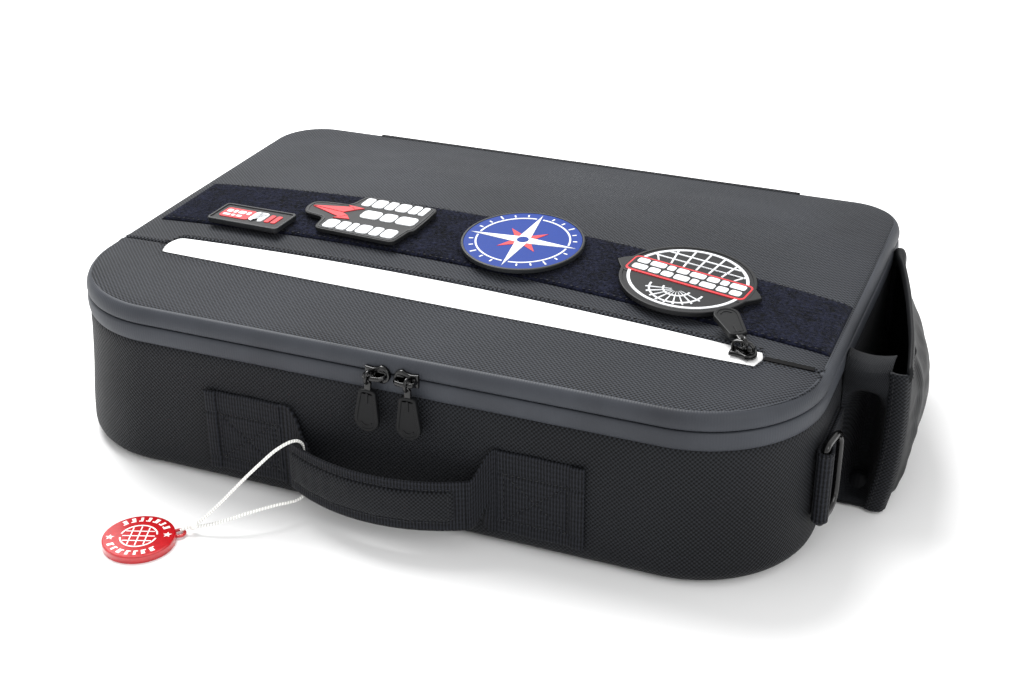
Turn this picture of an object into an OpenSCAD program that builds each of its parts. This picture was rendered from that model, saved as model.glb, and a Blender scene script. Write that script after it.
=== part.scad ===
// Flight bag: a low, zipped, foam-padded case with a crowned lid, a hook-and-loop display strip,
// a zipped lid pocket, a front carry handle, D-rings for a shoulder strap and a bellows side pocket.
// The origin is the centre of the underside. +X runs to the bag's right, +Y to its hinge side, +Z up.

/* [Body] */
// Width of the bag, left to right
body_w = 400; // [340:10:480]
// Depth of the bag, front to hinge side
body_d = 276; // [240:4:340]
// Height of the fabric side wall, up to the lower edge of the zip band
wall_h = 75; // [66:1:110]
// Radius of the two front corners in plan
corner_front = 62; // [40:1:64]
// Radius of the two rear corners in plan
corner_rear = 30; // [20:1:40]
// Height of the zip band that runs round the bag
band_h = 19.4; // [16:0.2:26]
// Height of the gap between the two halves of the band
split_gap = 0.4; // [0.3:0.1:1]
// How far each end of the band zip runs on past the rear corner
zip_wrap = 33; // [20:1:50]

/* [Layers] */
// Thickness of the outer fabric
skin_t = 1.2; // [0.8:0.1:2]
// Thickness of the foam in the base and the walls
foam_t = 6; // [4:0.5:10]
// Thickness of the inner lining
lining_t = 0.8; // [0.5:0.1:1.5]
// Thickness of the foam in the lid
lid_foam_t = 5; // [3:0.5:7]
// Side of the square section of a zip coil
coil_t = 1.2; // [0.8:0.1:2]

/* [Lid] */
// Height of the crown of the lid over its seam
crown_h = 10; // [4:0.5:16]
// Width of the hook-and-loop display strip
strip_w = 56; // [25:1:80]
// Thickness of the pile of the display strip
strip_t = 1.7; // [1:0.1:3]
// Place of the middle of the display strip, front to back
strip_y = -15.5; // [-30:0.5:30]
// Slope of the display strip across the lid
strip_slope = -0.06; // [-0.1:0.005:0.1]
// Sideways bow of the display strip
strip_bow = 6; // [0:1:20]
// Lift of each patch off the strip
patch_lift = 0.4; // [0.2:0.1:1]
// Thickness of a patch
patch_t = 2.4; // [1.5:0.1:4]
// Thickness of the hook backing under a patch
hook_t = 1; // [0.5:0.1:2]

/* [Lid pocket] */
// Place of the left end of the pocket zip, front to back
pocket_y_left = -66; // [-90:1:-50]
// Place of the right end of the pocket zip, front to back
pocket_y_right = -77.5; // [-95:0.5:-50]
// Half length of the white zip tape
pocket_half = 167; // [100:1:172]
// Width of the white zip tape at its left end
pocket_w_left = 18; // [8:1:26]
// Width of the white zip tape at its right end
pocket_w_right = 14; // [8:1:26]
// Extra width of the white zip tape at its middle
pocket_w_bulge = 6; // [0:1:12]

/* [Sliders] */
// Length of a slider body along its zip
slider_len = 13; // [10:0.5:18]
// Width of a slider body across its zip
slider_w = 9.5; // [8:0.5:14]
// Thickness of the plate of a slider
slider_t = 2.2; // [1.5:0.1:4]
// Place of the left main slider along the front
left_slider_x = -2.5; // [-60:0.5:-1]
// Place of the right main slider along the front
right_slider_x = 12.5; // [12:0.5:70]
// Diameter of the bridge bar on a slider
bridge_d = 2; // [1.5:0.1:3]
// Diameter of the wire of a pull link
link_wire = 1.6; // [1.2:0.1:2.2]
// Play between a pull link and its bridge bar
link_play = 0.8; // [0.4:0.1:1.2]
// Length of a puller
puller_len = 25; // [16:1:40]
// Width of the wide end of a puller
puller_w = 12; // [8:0.5:18]
// Thickness of a puller
puller_t = 2.4; // [1.5:0.1:4]

/* [Handle] */
// Width of the carry webbing
webbing_w = 46; // [30:1:54]
// Thickness of the carry webbing
webbing_t = 2; // [1.2:0.1:3]
// Length of each sewn handle anchor
anchor_len = 44; // [30:1:60]
// Distance between the inner ends of the anchors
handle_span = 118; // [100:2:150]
// Height of the middle of the anchors
anchor_z = 33; // [30:1:45]
// How far the grip stands out from the wall
handle_out = 22; // [18:1:35]
// How far the grip droops below the middle of the anchors
handle_droop = 5.5; // [0:0.5:10]
// Height of the folded webbing in the grip
grip_h = 27; // [20:1:32]
// Length of the grip
grip_len = 92; // [60:2:110]
// Thickness of the padded grip sleeve
grip_t = 6; // [4:0.5:12]

/* [Strap rings] */
// Width of the webbing that holds each D-ring
ring_webbing_w = 38; // [25:1:50]
// Thickness of the webbing that holds each D-ring
ring_webbing_t = 1.8; // [1.2:0.1:3]
// Length of each D-ring tab along the wall
ring_tab_len = 45; // [25:1:60]
// Diameter of the D-ring wire
ring_wire = 4; // [3:0.5:6]
// Depth of a D-ring from its bar
ring_depth = 21; // [14:1:30]
// Distance of each D-ring's bar from the end face, front on the right and rear on the left
ring_back = 48; // [40:1:56]
// Height of the middle of the D-rings
ring_z = 41; // [34:1:46]
// Angle at which each D-ring stands out from its wall
ring_out = 8; // [8:1:120]

/* [Side pocket] */
// Place of the front edge of the side pocket
pocket_front_y = -40; // [-44:1:-20]
// Length of the side pocket along the wall
side_pocket_len = 138; // [90:1:150]
// Gape of the side pocket at its front edge
side_pocket_gape = 32; // [15:1:45]
// Bulge of the outer panel of the side pocket
side_pocket_bulge = 15; // [4:1:25]
// Height of the side pocket
side_pocket_h = 85; // [50:1:86]
// Thickness of the coated fabric of the side pocket
side_pocket_t = 1.6; // [1:0.1:3]

/* [Tag] */
// Diameter of the round tag
tag_d = 36; // [24:1:50]
// Thickness of the tag
tag_t = 4; // [2:0.5:6]
// Diameter of the tag's elastic cord
cord_d = 1.6; // [1:0.1:2.5]

/* [Hidden] */
$fn = 64;
clear = 0.3;                      // running gap between pieces on different bodies
split_z = wall_h + band_h / 2;    // height of the line on which the lid parts from the body
seam_z = wall_h + band_h;         // height of the seam between the band and the lid fabric
inner = skin_t + foam_t;          // inset of the lining from the outer face
wall_top = split_z - split_gap - coil_t - 1.6;
pocket_gap = 0.5;                 // slack inside the closed lid pocket
pocket_lining_t = 0.5;
lid_inset = skin_t + coil_t + 0.2;
strip_gap = 0.2;                  // stitched gap between the lid fabric and the display strip
bridge_up = bridge_d / 2 + link_play + link_wire + clear + 0.2;  // bridge axis over its plate
front_y = -body_d / 2;
side_x = body_w / 2;
grid_x = 16;                      // cells across the lid
grid_y = 12;                      // cells front to back
slider_gap = 0.5;                 // gap between a slider and what it runs on
handle_gap = 1.6;                 // stand-off of the handle's swing axis from the wall
hinge_half = body_w / 2 - corner_rear - zip_wrap;

black_fabric = "#26272a";
coated_grey = "#45484c";
dark_metal = "#1a1a1c";

// ---- shared outlines ----

// Rounded rectangle of the bag's plan, drawn in by a distance on every side. The front corners
// are rounder than the rear ones.
module plan(inset) {
    front = corner_front - inset;
    rear = corner_rear - inset;
    x = side_x - inset;
    y = -front_y - inset;
    hull() for (sx = [-1, 1]) {
        translate([sx * (x - front), front - y]) circle(front);
        translate([sx * (x - rear), y - rear]) circle(rear);
    }
}

// Upright ring that follows the plan between two insets.
module ring(outer, inner, z0, z1) {
    translate([0, 0, z0]) linear_extrude(z1 - z0) difference() {
        plan(outer);
        plan(inner);
    }
}

// Stretch of the rear wall between the ends of the band zip.
module rear_window(z0, z1) {
    translate([-hinge_half, 0, z0 - 1]) cube([2 * hinge_half, body_d, z1 - z0 + 2]);
}

// Ring that stops short at the rear hinge.
module open_ring(outer, inner, z0, z1) {
    difference() {
        ring(outer, inner, z0, z1);
        rear_window(z0, z1);
    }
}

// The rear stretch that the open ring leaves out.
module rear_stretch(outer, inner, z0, z1) {
    intersection() {
        ring(outer, inner, z0, z1);
        rear_window(z0, z1);
    }
}

// ---- the crowned lid ----

// Height of the lid's outer face at a place in plan.
function across(x) = 1 - pow(x / side_x, 2);
function along(y) = let (t = (y - front_y) / body_d) pow(sin(150 * t), 2) * (1 - pow(t, 8));
function lid_z(x, y) = seam_z + crown_h * across(x) * along(y);
function slope_x(x, y) = lid_z(x + 0.5, y) - lid_z(x - 0.5, y);
function slope_y(x, y) = lid_z(x, y + 0.5) - lid_z(x, y - 0.5);

// Closed sheet over a grid: columns are lists of [x, y], and the faces lie at two depths.
module sheet(columns, top, bottom) {
    nx = len(columns);
    ny = len(columns[0]);
    points = concat(
        [for (c = columns, p = c) [p[0], p[1], lid_z(p[0], p[1]) + top]],
        [for (c = columns, p = c) [p[0], p[1], lid_z(p[0], p[1]) + bottom]]);
    under = nx * ny;
    faces = concat(
        [for (i = [0:nx - 2], j = [0:ny - 2])
            [i * ny + j, i * ny + j + 1, (i + 1) * ny + j + 1]],
        [for (i = [0:nx - 2], j = [0:ny - 2])
            [i * ny + j, (i + 1) * ny + j + 1, (i + 1) * ny + j]],
        [for (i = [0:nx - 2], j = [0:ny - 2])
            [under + i * ny + j, under + (i + 1) * ny + j + 1, under + i * ny + j + 1]],
        [for (i = [0:nx - 2], j = [0:ny - 2])
            [under + i * ny + j, under + (i + 1) * ny + j, under + (i + 1) * ny + j + 1]],
        [for (i = [0:nx - 2]) [i * ny, (i + 1) * ny, under + (i + 1) * ny, under + i * ny]],
        [for (i = [0:nx - 2])
            [(i + 1) * ny + ny - 1, i * ny + ny - 1, under + i * ny + ny - 1,
             under + (i + 1) * ny + ny - 1]],
        [for (j = [0:ny - 2]) [j + 1, j, under + j, under + j + 1]],
        [for (j = [0:ny - 2])
            [(nx - 1) * ny + j, (nx - 1) * ny + j + 1, under + (nx - 1) * ny + j + 1,
             under + (nx - 1) * ny + j]]);
    polyhedron(points, faces);
}

// Layer of the whole lid between two depths under its outer face, cut to a plan shape.
module lid_layer(top, bottom) {
    columns = [for (i = [0:grid_x]) [for (j = [0:grid_y])
        [side_x * (2 * i / grid_x - 1), front_y * (1 - 2 * j / grid_y)]]];
    intersection() {
        sheet(columns, top, bottom);
        translate([0, 0, wall_h]) linear_extrude(band_h + crown_h + 10) children();
    }
}

// Middle line of the pocket zip, and half the width of its tape.
function zip_share(x) = (x + pocket_half) / (2 * pocket_half);
function zip_y(x) = pocket_y_left + (pocket_y_right - pocket_y_left) * zip_share(x);
function zip_half(x) = (pocket_w_left + (pocket_w_right - pocket_w_left) * zip_share(x)) / 2
    + 2 * pocket_w_bulge * zip_share(x) * (1 - zip_share(x));

// Plan of the white tape, with a rounded left end.
module tape_plan(inset) {
    left = -pocket_half + inset;
    right = pocket_half - inset;
    round_x = 5;                  // length of the rounded rear corner at the left end
    steps = 12;
    xs = [for (i = [0:steps]) left + round_x + (right - left - round_x) * i / steps];
    polygon(concat([[left, zip_y(left) - zip_half(left) + inset]],
        [for (x = xs) [x, zip_y(x) - zip_half(x) + inset]],
        [for (i = [steps:-1:0]) [xs[i], zip_y(xs[i]) + zip_half(xs[i]) - inset]],
        [for (a = [75:-15:0]) [left + round_x - round_x * cos(90 - a),
            zip_y(left) + zip_half(left) - inset - round_x + round_x * sin(a)]]));
}

// Half of the lid's plan, on one side of the pocket zip's middle line.
module plan_half(side) {
    intersection() {
        plan(skin_t);
        polygon([[-body_w, zip_y(-body_w)], [body_w, zip_y(body_w)],
            [body_w, side * body_d], [-body_w, side * body_d]]);
    }
}

function strip_mid(x) = strip_y + strip_slope * x - strip_bow * pow(x / side_x, 2);

// Puts children at a place on the lid, tipped to its slope, at a height over the fabric.
module on_lid(x, y, up) {
    translate([x, y, lid_z(x, y) + up])
        rotate([atan(slope_y(x, y)), -atan(slope_x(x, y)), 0]) children();
}

// ---- body ----

module base_panel() {
    color(black_fabric) linear_extrude(skin_t) plan(0);
}

module base_foam() {
    color("#5b5e63") translate([0, 0, skin_t]) linear_extrude(foam_t) plan(skin_t);
}

module base_lining() {
    color("#6d7077") translate([0, 0, inner]) linear_extrude(lining_t) plan(inner);
}

module side_wall() {
    color(black_fabric) ring(0, skin_t, skin_t, wall_h);
}

module wall_foam() {
    color("#5b5e63") ring(skin_t, inner, inner, wall_top);
}

module wall_lining() {
    color("#6d7077") ring(inner, inner + lining_t, inner + lining_t, wall_top);
}

module lower_zip_tape() {
    color(coated_grey) open_ring(0, skin_t, wall_h, split_z - split_gap / 2);
}

module lower_zip_coil() {
    top = split_z - split_gap / 2;
    color("#1d1e20") open_ring(skin_t, skin_t + coil_t, top - coil_t, top);
}

module rear_hinge_lower() {
    color(black_fabric) rear_stretch(0, skin_t, wall_h, split_z - split_gap / 2);
}

// ---- lid ----

module upper_zip_tape() {
    color(coated_grey) open_ring(0, skin_t, split_z + split_gap / 2, seam_z);
}

module upper_zip_coil() {
    low = split_z + split_gap / 2;
    color("#1d1e20") open_ring(skin_t, skin_t + coil_t, low, low + coil_t);
}

module rear_hinge_upper() {
    color(black_fabric) rear_stretch(0, skin_t, split_z + split_gap / 2, seam_z);
}

module lid_front_panel() {
    color(black_fabric) lid_layer(0, -skin_t) difference() {
        plan_half(-1);
        tape_plan(0);
    }
}

module lid_rear_panel() {
    color(black_fabric) lid_layer(0, -skin_t) difference() {
        plan_half(1);
        tape_plan(0);
    }
}

module pocket_zip_tape() {
    color("#f2f2f0") lid_layer(-0.2, -skin_t) tape_plan(0.1);
}

// Closed end of the pocket zip, between the white tape and the band.
module pocket_zip_tail() {
    start = pocket_half + 2;
    columns = [for (x = [start:6:side_x - 7]) [for (dy = [-1.6, 0, 1.6]) [x, zip_y(x) + dy]]];
    color("#202124") sheet(columns, 1.1, strip_gap);
}

pocket_top = -skin_t - pocket_gap;
foam_top = pocket_top - pocket_lining_t;

module pocket_lining() {
    color("#dcdcda") lid_layer(pocket_top, foam_top) plan(lid_inset);
}

module lid_foam() {
    color("#5b5e63") lid_layer(foam_top, foam_top - lid_foam_t) plan(lid_inset);
}

module lid_lining() {
    low = foam_top - lid_foam_t;
    color("#6d7077") lid_layer(low, low - lining_t) plan(lid_inset);
}

module loop_strip() {
    cells = 24;
    left = -side_x + 14;
    right = side_x - 3;
    columns = [for (i = [0:cells]) let (x = left + (right - left) * i / cells)
        [for (j = [-2:2]) [x, strip_mid(x) + j * strip_w / 4]]];
    color("#1b1d2a") sheet(columns, strip_gap + strip_t, strip_gap);
}

// ---- patches ----

strip_up = strip_gap + strip_t + patch_lift;
bar_patch_size = [48, 21];
bar_patch_at = [-134, -32];
dart_patch_at = [-73, -16];
compass_patch_d = 66;
compass_patch_at = [22.5, -16.5];
globe_patch_d = 70;
globe_patch_at = [115.5, -24];

weld = 0.02;                      // glue line between a patch and its hook plate

// Round-cornered rectangle about the origin.
module rounded(w, d, r) {
    square([w - 2 * r, d], center = true);
    square([w, d - 2 * r], center = true);
    for (sx = [-1, 1], sy = [-1, 1]) translate([sx * (w / 2 - r), sy * (d / 2 - r)]) circle(r);
}

// A patch: a flat plate with a raised rim, whose outline is its children's.
module plate_with_rim(rim) {
    linear_extrude(patch_t - 0.6) children(0);
    linear_extrude(patch_t) difference() {
        children(0);
        children(1);
    }
}

module bar_outline(inset) {
    rounded(bar_patch_size[0] - 2 * inset, bar_patch_size[1] - 2 * inset, 2.5 - inset);
}

module bar_patch() {
    color("#2e3033") on_lid(bar_patch_at[0], bar_patch_at[1], strip_up + hook_t + weld)
        rotate(-6) plate_with_rim() {
            bar_outline(0);
            bar_outline(1.5);
        }
}

module bar_patch_hook() {
    color("#151517") on_lid(bar_patch_at[0], bar_patch_at[1], strip_up)
        rotate(-6) linear_extrude(hook_t) bar_outline(1);
}

// Die-cut outline: a dart's nose on the left and three blocks stepped to the right.
module dart_outline(inset) {
    translate([12, 14]) rounded(48 - 2 * inset, 18 - 2 * inset, 5 - inset);
    translate([18, 0]) rounded(38 - 2 * inset, 18 - 2 * inset, 5 - inset);
    translate([8, -14]) rounded(52 - 2 * inset, 18 - 2 * inset, 5 - inset);
    translate([-11, 0]) rounded(52 - 2 * inset, 16 - 2 * inset, 7 - inset);
}

module dart_patch() {
    color("#2a2c2f") on_lid(dart_patch_at[0], dart_patch_at[1], strip_up + hook_t + weld)
        rotate(-5) plate_with_rim() {
            dart_outline(0);
            dart_outline(1.5);
        }
}

module dart_patch_hook() {
    color("#151517") on_lid(dart_patch_at[0], dart_patch_at[1], strip_up)
        rotate(-5) linear_extrude(hook_t) dart_outline(2.5);
}

module compass_patch() {
    color("#2f5fc4") on_lid(compass_patch_at[0], compass_patch_at[1], strip_up + hook_t + weld)
        plate_with_rim() {
            circle(d = compass_patch_d);
            circle(d = compass_patch_d - 3);
        }
}

module compass_patch_hook() {
    color("#151517") on_lid(compass_patch_at[0], compass_patch_at[1], strip_up)
        linear_extrude(hook_t) circle(d = compass_patch_d - 4);
}

// Disc with a pointed lug on each side.
module globe_outline(inset) {
    circle(d = globe_patch_d - 2 * inset);
    half = globe_patch_d / 2 + 5 - 1.6 * inset;
    polygon([[-half, 1], [-half + 10, 9 - inset], [half - 10, 9 - inset], [half, 1],
        [half - 10, -8 + inset], [-half + 10, -8 + inset]]);
}

module globe_patch() {
    color("#232427") on_lid(globe_patch_at[0], globe_patch_at[1], strip_up + hook_t + weld)
        rotate(-8) plate_with_rim() {
            globe_outline(0);
            globe_outline(2);
        }
}

module globe_patch_hook() {
    color("#151517") on_lid(globe_patch_at[0], globe_patch_at[1], strip_up)
        linear_extrude(hook_t) circle(d = globe_patch_d - 4);
}

// ---- sliders: drawn flat, zip along X, bridge towards +Z, puller towards -Y ----

module slider_body() {
    r = slider_w / 2;
    half = slider_len / 2;
    linear_extrude(slider_t) {
        translate([half - r, 0]) circle(r);
        translate([-half, -r * 0.8]) square([slider_len - r, 1.6 * r]);
    }
    // the two posts reach down into the plate and up past the bridge's middle line
    for (x = [-half + 1.6, half - 1.6])
        translate([x, 0, slider_t / 2]) cylinder(d = bridge_d, h = slider_t / 2 + bridge_up);
    translate([-half + 0.6, 0, slider_t + bridge_up]) rotate([0, 90, 0])
        cylinder(d = bridge_d, h = slider_len - 1.2);
}

// Middle radius of the ring of a pull link.
link_r = bridge_d / 2 + link_play + link_wire / 2;
neck = 5;                         // length of a link's shank, ring to puller

// Pull link about the origin: a ring round the X axis with a shank towards -Y.
module pull_link() {
    rotate([0, 90, 0]) rotate_extrude() translate([link_r, 0]) circle(d = link_wire, $fn = 24);
    translate([0, -link_r - neck / 2, -0.4]) cube([3.2, neck, link_wire], center = true);
}

// Puller: a teardrop plate with a raised lip, hung from the link's shank.
module puller() {
    top = -link_r - neck;
    narrow = puller_w * 0.3;
    wide = puller_w / 2;
    translate([0, top, -0.4 - puller_t / 2]) linear_extrude(puller_t) {
        translate([0, -puller_len + wide]) circle(wide);
        polygon([[-narrow, 0], [narrow, 0], [wide, -puller_len + wide], [-wide, -puller_len + wide]]);
    }
}

// Puts a flat-drawn slider on the front of the bag, plate against the band.
module on_front(x) {
    translate([x, front_y - slider_gap, split_z]) rotate([90, 0, 0]) children();
}

left_pull_lean = -4;
left_ring_x = -3;
right_ring_x = 2.7;

// Puts a flat-drawn pull on the bridge of a front slider, leaning a little about the link.
module on_front_bridge(x, lean) {
    translate([x, front_y - slider_gap - slider_t - bridge_up, split_z])
        rotate([0, lean, 0]) rotate([90, 0, 0]) children();
}

module left_slider_body() {
    color(dark_metal) on_front(left_slider_x) slider_body();
}

module left_pull_link() {
    color(dark_metal) on_front_bridge(left_slider_x + left_ring_x, -left_pull_lean) pull_link();
}

module left_puller() {
    color("#303236") on_front_bridge(left_slider_x + left_ring_x, -left_pull_lean) puller();
}

module right_slider_body() {
    color(dark_metal) on_front(right_slider_x) mirror([1, 0, 0]) slider_body();
}

module right_pull_link() {
    color(dark_metal) on_front_bridge(right_slider_x + right_ring_x, 0) pull_link();
}

module right_puller() {
    color("#303236") on_front_bridge(right_slider_x + right_ring_x, 0) puller();
}

pocket_slider_x = 159;            // place of the pocket slider on its tape
pocket_pull_turn = 38;            // swing of its puller towards the left
pocket_pull_dip = -5.5;           // dip of its puller towards the lid, less than none here
zip_turn = atan((pocket_y_right - pocket_y_left) / (2 * pocket_half));

module on_tape(up) {
    on_lid(pocket_slider_x, zip_y(pocket_slider_x), up) rotate(zip_turn) children();
}

module pocket_slider_body() {
    color(dark_metal) on_tape(slider_gap) slider_body();
}

module on_pocket_bridge() {
    on_tape(slider_gap + slider_t + bridge_up)
        rotate(180 + pocket_pull_turn) rotate([pocket_pull_dip, 0, 0]) children();
}

module pocket_pull_link() {
    color(dark_metal) on_pocket_bridge() pull_link();
}

module pocket_puller() {
    color("#303236") on_pocket_bridge() puller();
}

// ---- handle ----

anchor_in = handle_span / 2;
handle_mid_z = anchor_z - handle_droop;
// The handle is an arc in plan through the inner ends of the anchors.
arc_rise = handle_out - handle_gap;
arc_r = (pow(anchor_in, 2) + pow(arc_rise, 2)) / (2 * arc_rise);
arc_y = front_y - handle_out + arc_r;
grip_angle = asin(grip_len / 2 / arc_r);
leg_gap_angle = 0.4;              // gap between the grip's strap and each leg, as an angle

// Sewn webbing plate with its end turned under.
module anchor_plate(side) {
    fold = 7;
    x0 = side > 0 ? anchor_in : -anchor_in - anchor_len;
    fold_x = side > 0 ? anchor_in + anchor_len - fold : -anchor_in - anchor_len;
    translate([x0, front_y - webbing_t, anchor_z - webbing_w / 2])
        cube([anchor_len, webbing_t, webbing_w]);
    translate([fold_x, front_y - webbing_t - 0.8, anchor_z - webbing_w / 2])
        cube([fold, 0.8 + webbing_t / 2, webbing_w]);
}

module handle_anchor_left() {
    color("#202123") anchor_plate(-1);
}

module handle_anchor_right() {
    color("#202123") anchor_plate(1);
}

// Upright slice of the handle's arc at an angle from straight out.
module arc_slice(angle, h, mid_z, t) {
    translate([0, arc_y, mid_z]) rotate(angle) translate([0, -arc_r, 0])
        cube([0.4, t, h], center = true);
}

// Leg of webbing that opens from the folded grip to the full width at its anchor.
module leg(side) {
    start = side * (grip_angle + leg_gap_angle + 0.2);
    hull() {
        arc_slice(start, grip_h, handle_mid_z, webbing_t);
        arc_slice(side * (grip_angle + 5), webbing_w * 0.8, anchor_z - handle_droop / 2, webbing_t);
    }
    hull() {
        arc_slice(side * (grip_angle + 5), webbing_w * 0.8, anchor_z - handle_droop / 2, webbing_t);
        translate([side * (anchor_in - 0.4), front_y - webbing_t / 2 - 0.1, anchor_z])
            cube([0.4, webbing_t - 0.2, webbing_w - 1], center = true);
    }
}

module handle_leg_left() {
    color("#202123") leg(-1);
}

module handle_leg_right() {
    color("#202123") leg(1);
}

// Arc band about the handle's centre between two radii, over the grip's length.
module grip_band(r0, r1, h, angle) {
    translate([0, arc_y, handle_mid_z - h / 2]) rotate(-90 - angle)
        rotate_extrude(angle = 2 * angle) translate([r0, 0]) square([r1 - r0, h]);
}

module handle_strap() {
    color("#202123")
        grip_band(arc_r - webbing_t / 2, arc_r + webbing_t / 2, grip_h, grip_angle);
}

module handle_grip() {
    sleeve_h = grip_h - 8;
    color(black_fabric) difference() {
        grip_band(arc_r - grip_t / 2, arc_r + grip_t / 2, sleeve_h, grip_angle - 2);
        grip_band(arc_r - webbing_t / 2, arc_r + webbing_t / 2, grip_h, grip_angle);
    }
}

// ---- strap rings ----

ring_y = front_y + ring_back;      // axis of a D-ring's bar
ring_bar_x = side_x + ring_webbing_t + ring_wire / 2 + clear;
bar_len = ring_webbing_w + ring_wire + 2 * clear;   // between the middles of a D-ring's arms

// Webbing folded round the D-ring's bar and sewn down the right wall.
module ring_tab() {
    r_in = ring_wire / 2 + clear;
    r_out = r_in + ring_webbing_t;
    translate([0, 0, ring_z - ring_webbing_w / 2])
        linear_extrude(ring_webbing_w) difference() {
            union() {
                translate([ring_bar_x, ring_y]) circle(r_out);
                translate([side_x, ring_y]) square([ring_webbing_t, ring_tab_len]);
                translate([side_x + r_out * 2 - ring_webbing_t, ring_y])
                    square([ring_webbing_t, 5]);
                translate([side_x + ring_webbing_t, ring_y + 5])
                    square([ring_webbing_t, ring_tab_len - 5]);
                translate([side_x + ring_webbing_t, ring_y + 4])
                    square([r_out * 2 - ring_webbing_t, ring_webbing_t]);
            }
            translate([ring_bar_x, ring_y]) circle(r_in);
            translate([side_x - 5, ring_y - 20]) square([5, 40]);
        }
}

module d_ring_tab_left() {
    color("#202123") rotate(180) ring_tab();
}

module d_ring_tab_right() {
    color("#202123") ring_tab();
}

// D-ring about its bar: the bar is upright and the bow points along +Y.
module d_ring() {
    half = bar_len / 2;
    bow = 9;                       // corner radius of the bow
    cylinder(d = ring_wire, h = bar_len, center = true);
    for (s = [-1, 1]) {
        translate([0, 0, s * half]) rotate([-90, 0, 0])
            cylinder(d = ring_wire, h = ring_depth - bow);
        translate([0, 0, s * half]) sphere(d = ring_wire);
        translate([0, ring_depth - bow, s * (half - bow)]) rotate([0, 0, 90]) rotate([90, 0, 0])
            rotate(s > 0 ? 0 : -90) rotate_extrude(angle = 90)
                translate([bow, 0]) circle(d = ring_wire, $fn = 32);
    }
    translate([0, ring_depth, 0]) cylinder(d = ring_wire, h = bar_len - 2 * bow, center = true);
}

module d_ring_right() {
    color(dark_metal) translate([ring_bar_x, ring_y, ring_z]) rotate(-ring_out) d_ring();
}

module d_ring_left() {
    color(dark_metal) rotate(180)
        translate([ring_bar_x, ring_y, ring_z]) rotate(-ring_out) d_ring();
}

// ---- side pocket on the right wall ----

pocket_base_z = 1;
pocket_rear = [side_x + 3, pocket_front_y + side_pocket_len];
pocket_lip = [side_x + side_pocket_gape, pocket_front_y];

// Points of an arc between two ends, bowed by a rise towards its right side.
function arc_points(a, b, rise, n) =
    let (chord = norm(b - a), r = (chord * chord / 4 + rise * rise) / (2 * rise),
        dir = (b - a) / chord, out = [dir[1], -dir[0]],
        centre = (a + b) / 2 + out * (rise - r), half = asin(chord / 2 / r))
    [for (i = [0:n]) let (t = -half + 2 * half * i / n)
        centre + r * (out * cos(t) + dir * sin(t))];

// Band of even thickness inside an arc.
module arc_band(a, b, rise, t) {
    out = arc_points(a, b, rise, 20);
    dir = (b - a) / norm(b - a);
    inward = [-dir[1], dir[0]];
    inner_pts = [for (p = out) p + t * inward];
    polygon(concat(out, [for (i = [20:-1:0]) inner_pts[i]]));
}

module side_pocket_panel() {
    color("#3a3c41") translate([0, 0, pocket_base_z]) linear_extrude(side_pocket_h - 8)
        arc_band(pocket_lip, pocket_rear, side_pocket_bulge, side_pocket_t);
}

module side_pocket_hem() {
    color("#2c2d31") translate([0, 0, pocket_base_z + side_pocket_h - 8]) linear_extrude(8)
        arc_band(pocket_lip + [0.4, 0], pocket_rear + [0.4, 0], side_pocket_bulge,
            side_pocket_t + 0.8);
}

// Bellows end of the pocket, folded inwards in a V.
module side_pocket_front_gusset() {
    near = side_x + 0.5;
    far = pocket_lip[0] - side_pocket_t - 1.5;
    fold = [(near + far) / 2, pocket_front_y + 34];
    t = 1;
    color("#1f2023") translate([0, 0, pocket_base_z + 4]) linear_extrude(side_pocket_h - 10)
        polygon([[near, pocket_front_y + 1], [near + t, pocket_front_y + 1], fold,
            [far - t, pocket_front_y + 1], [far, pocket_front_y + 1], fold + [0, 2.5 * t]]);
}

module side_pocket_bottom_gusset() {
    inset = side_pocket_t + 2;
    color("#1f2023") translate([0, 0, pocket_base_z + 1]) linear_extrude(1.2)
        polygon(concat([[side_x + 0.5, pocket_front_y + 1]],
            [for (p = arc_points(pocket_lip, pocket_rear, side_pocket_bulge, 12))
                [max(side_x + 0.6, p[0] - inset), p[1] + 1]],
            [[side_x + 0.5, pocket_rear[1] + 1]]));
}

// ---- tag ----

tag_at = [-107, -201];
lug_at = [-92, -188.5];
lug_hole = 3.4;
lug_z = 0.6;

module tag_disc() {
    color("#d3202b") {
        difference() {
            union() {
                translate(tag_at) cylinder(d = tag_d, h = tag_t);
                translate([lug_at[0], lug_at[1], lug_z]) cylinder(d = lug_hole + 4.4, h = 1.8);
            }
            translate([lug_at[0], lug_at[1], -1]) cylinder(d = lug_hole, h = tag_t + 2);
        }
    }
}

knot_at = [-86.4, -184, 4.6];

module tag_knot() {
    color("#f4f4f2") translate(knot_at) sphere(d = 4.4, $fn = 24);
}

// Routes of the two runs of elastic cord, point by point.
cord_route = [[-42, -145.9, 29], [-42.3, -145.9, 34], [-42.8, -146.2, 39.5], [-44, -149.4, 43.6],
    [-46.5, -154.5, 44.6], [-51, -160, 42], [-56, -164.5, 37], [-62, -169, 30.5],
    [-68, -173, 23.5], [-74, -177, 16.5], [-80, -180.6, 10], [-84, -182.8, 6.4],
    [-87, -184.5, 4.6], [-89.4, -186.4, 3.9], [-91.4, -188, 2.9]];
return_route = [[-86.4, -184.2, 4.4], [-83, -183.3, 4.6], [-77, -181, 6], [-70, -177.5, 8.2],
    [-63, -173.2, 10.4], [-56, -168, 12], [-50.5, -162.5, 12.4], [-46.5, -157, 11.6],
    [-43.8, -151.4, 11.2], [-42.2, -147.2, 13.6], [-41.6, -145.9, 18.6], [-41.8, -145.9, 26]];
cord_steps = 3;
cord_sides = 8;

function unit(v) = v / norm(v);

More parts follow.
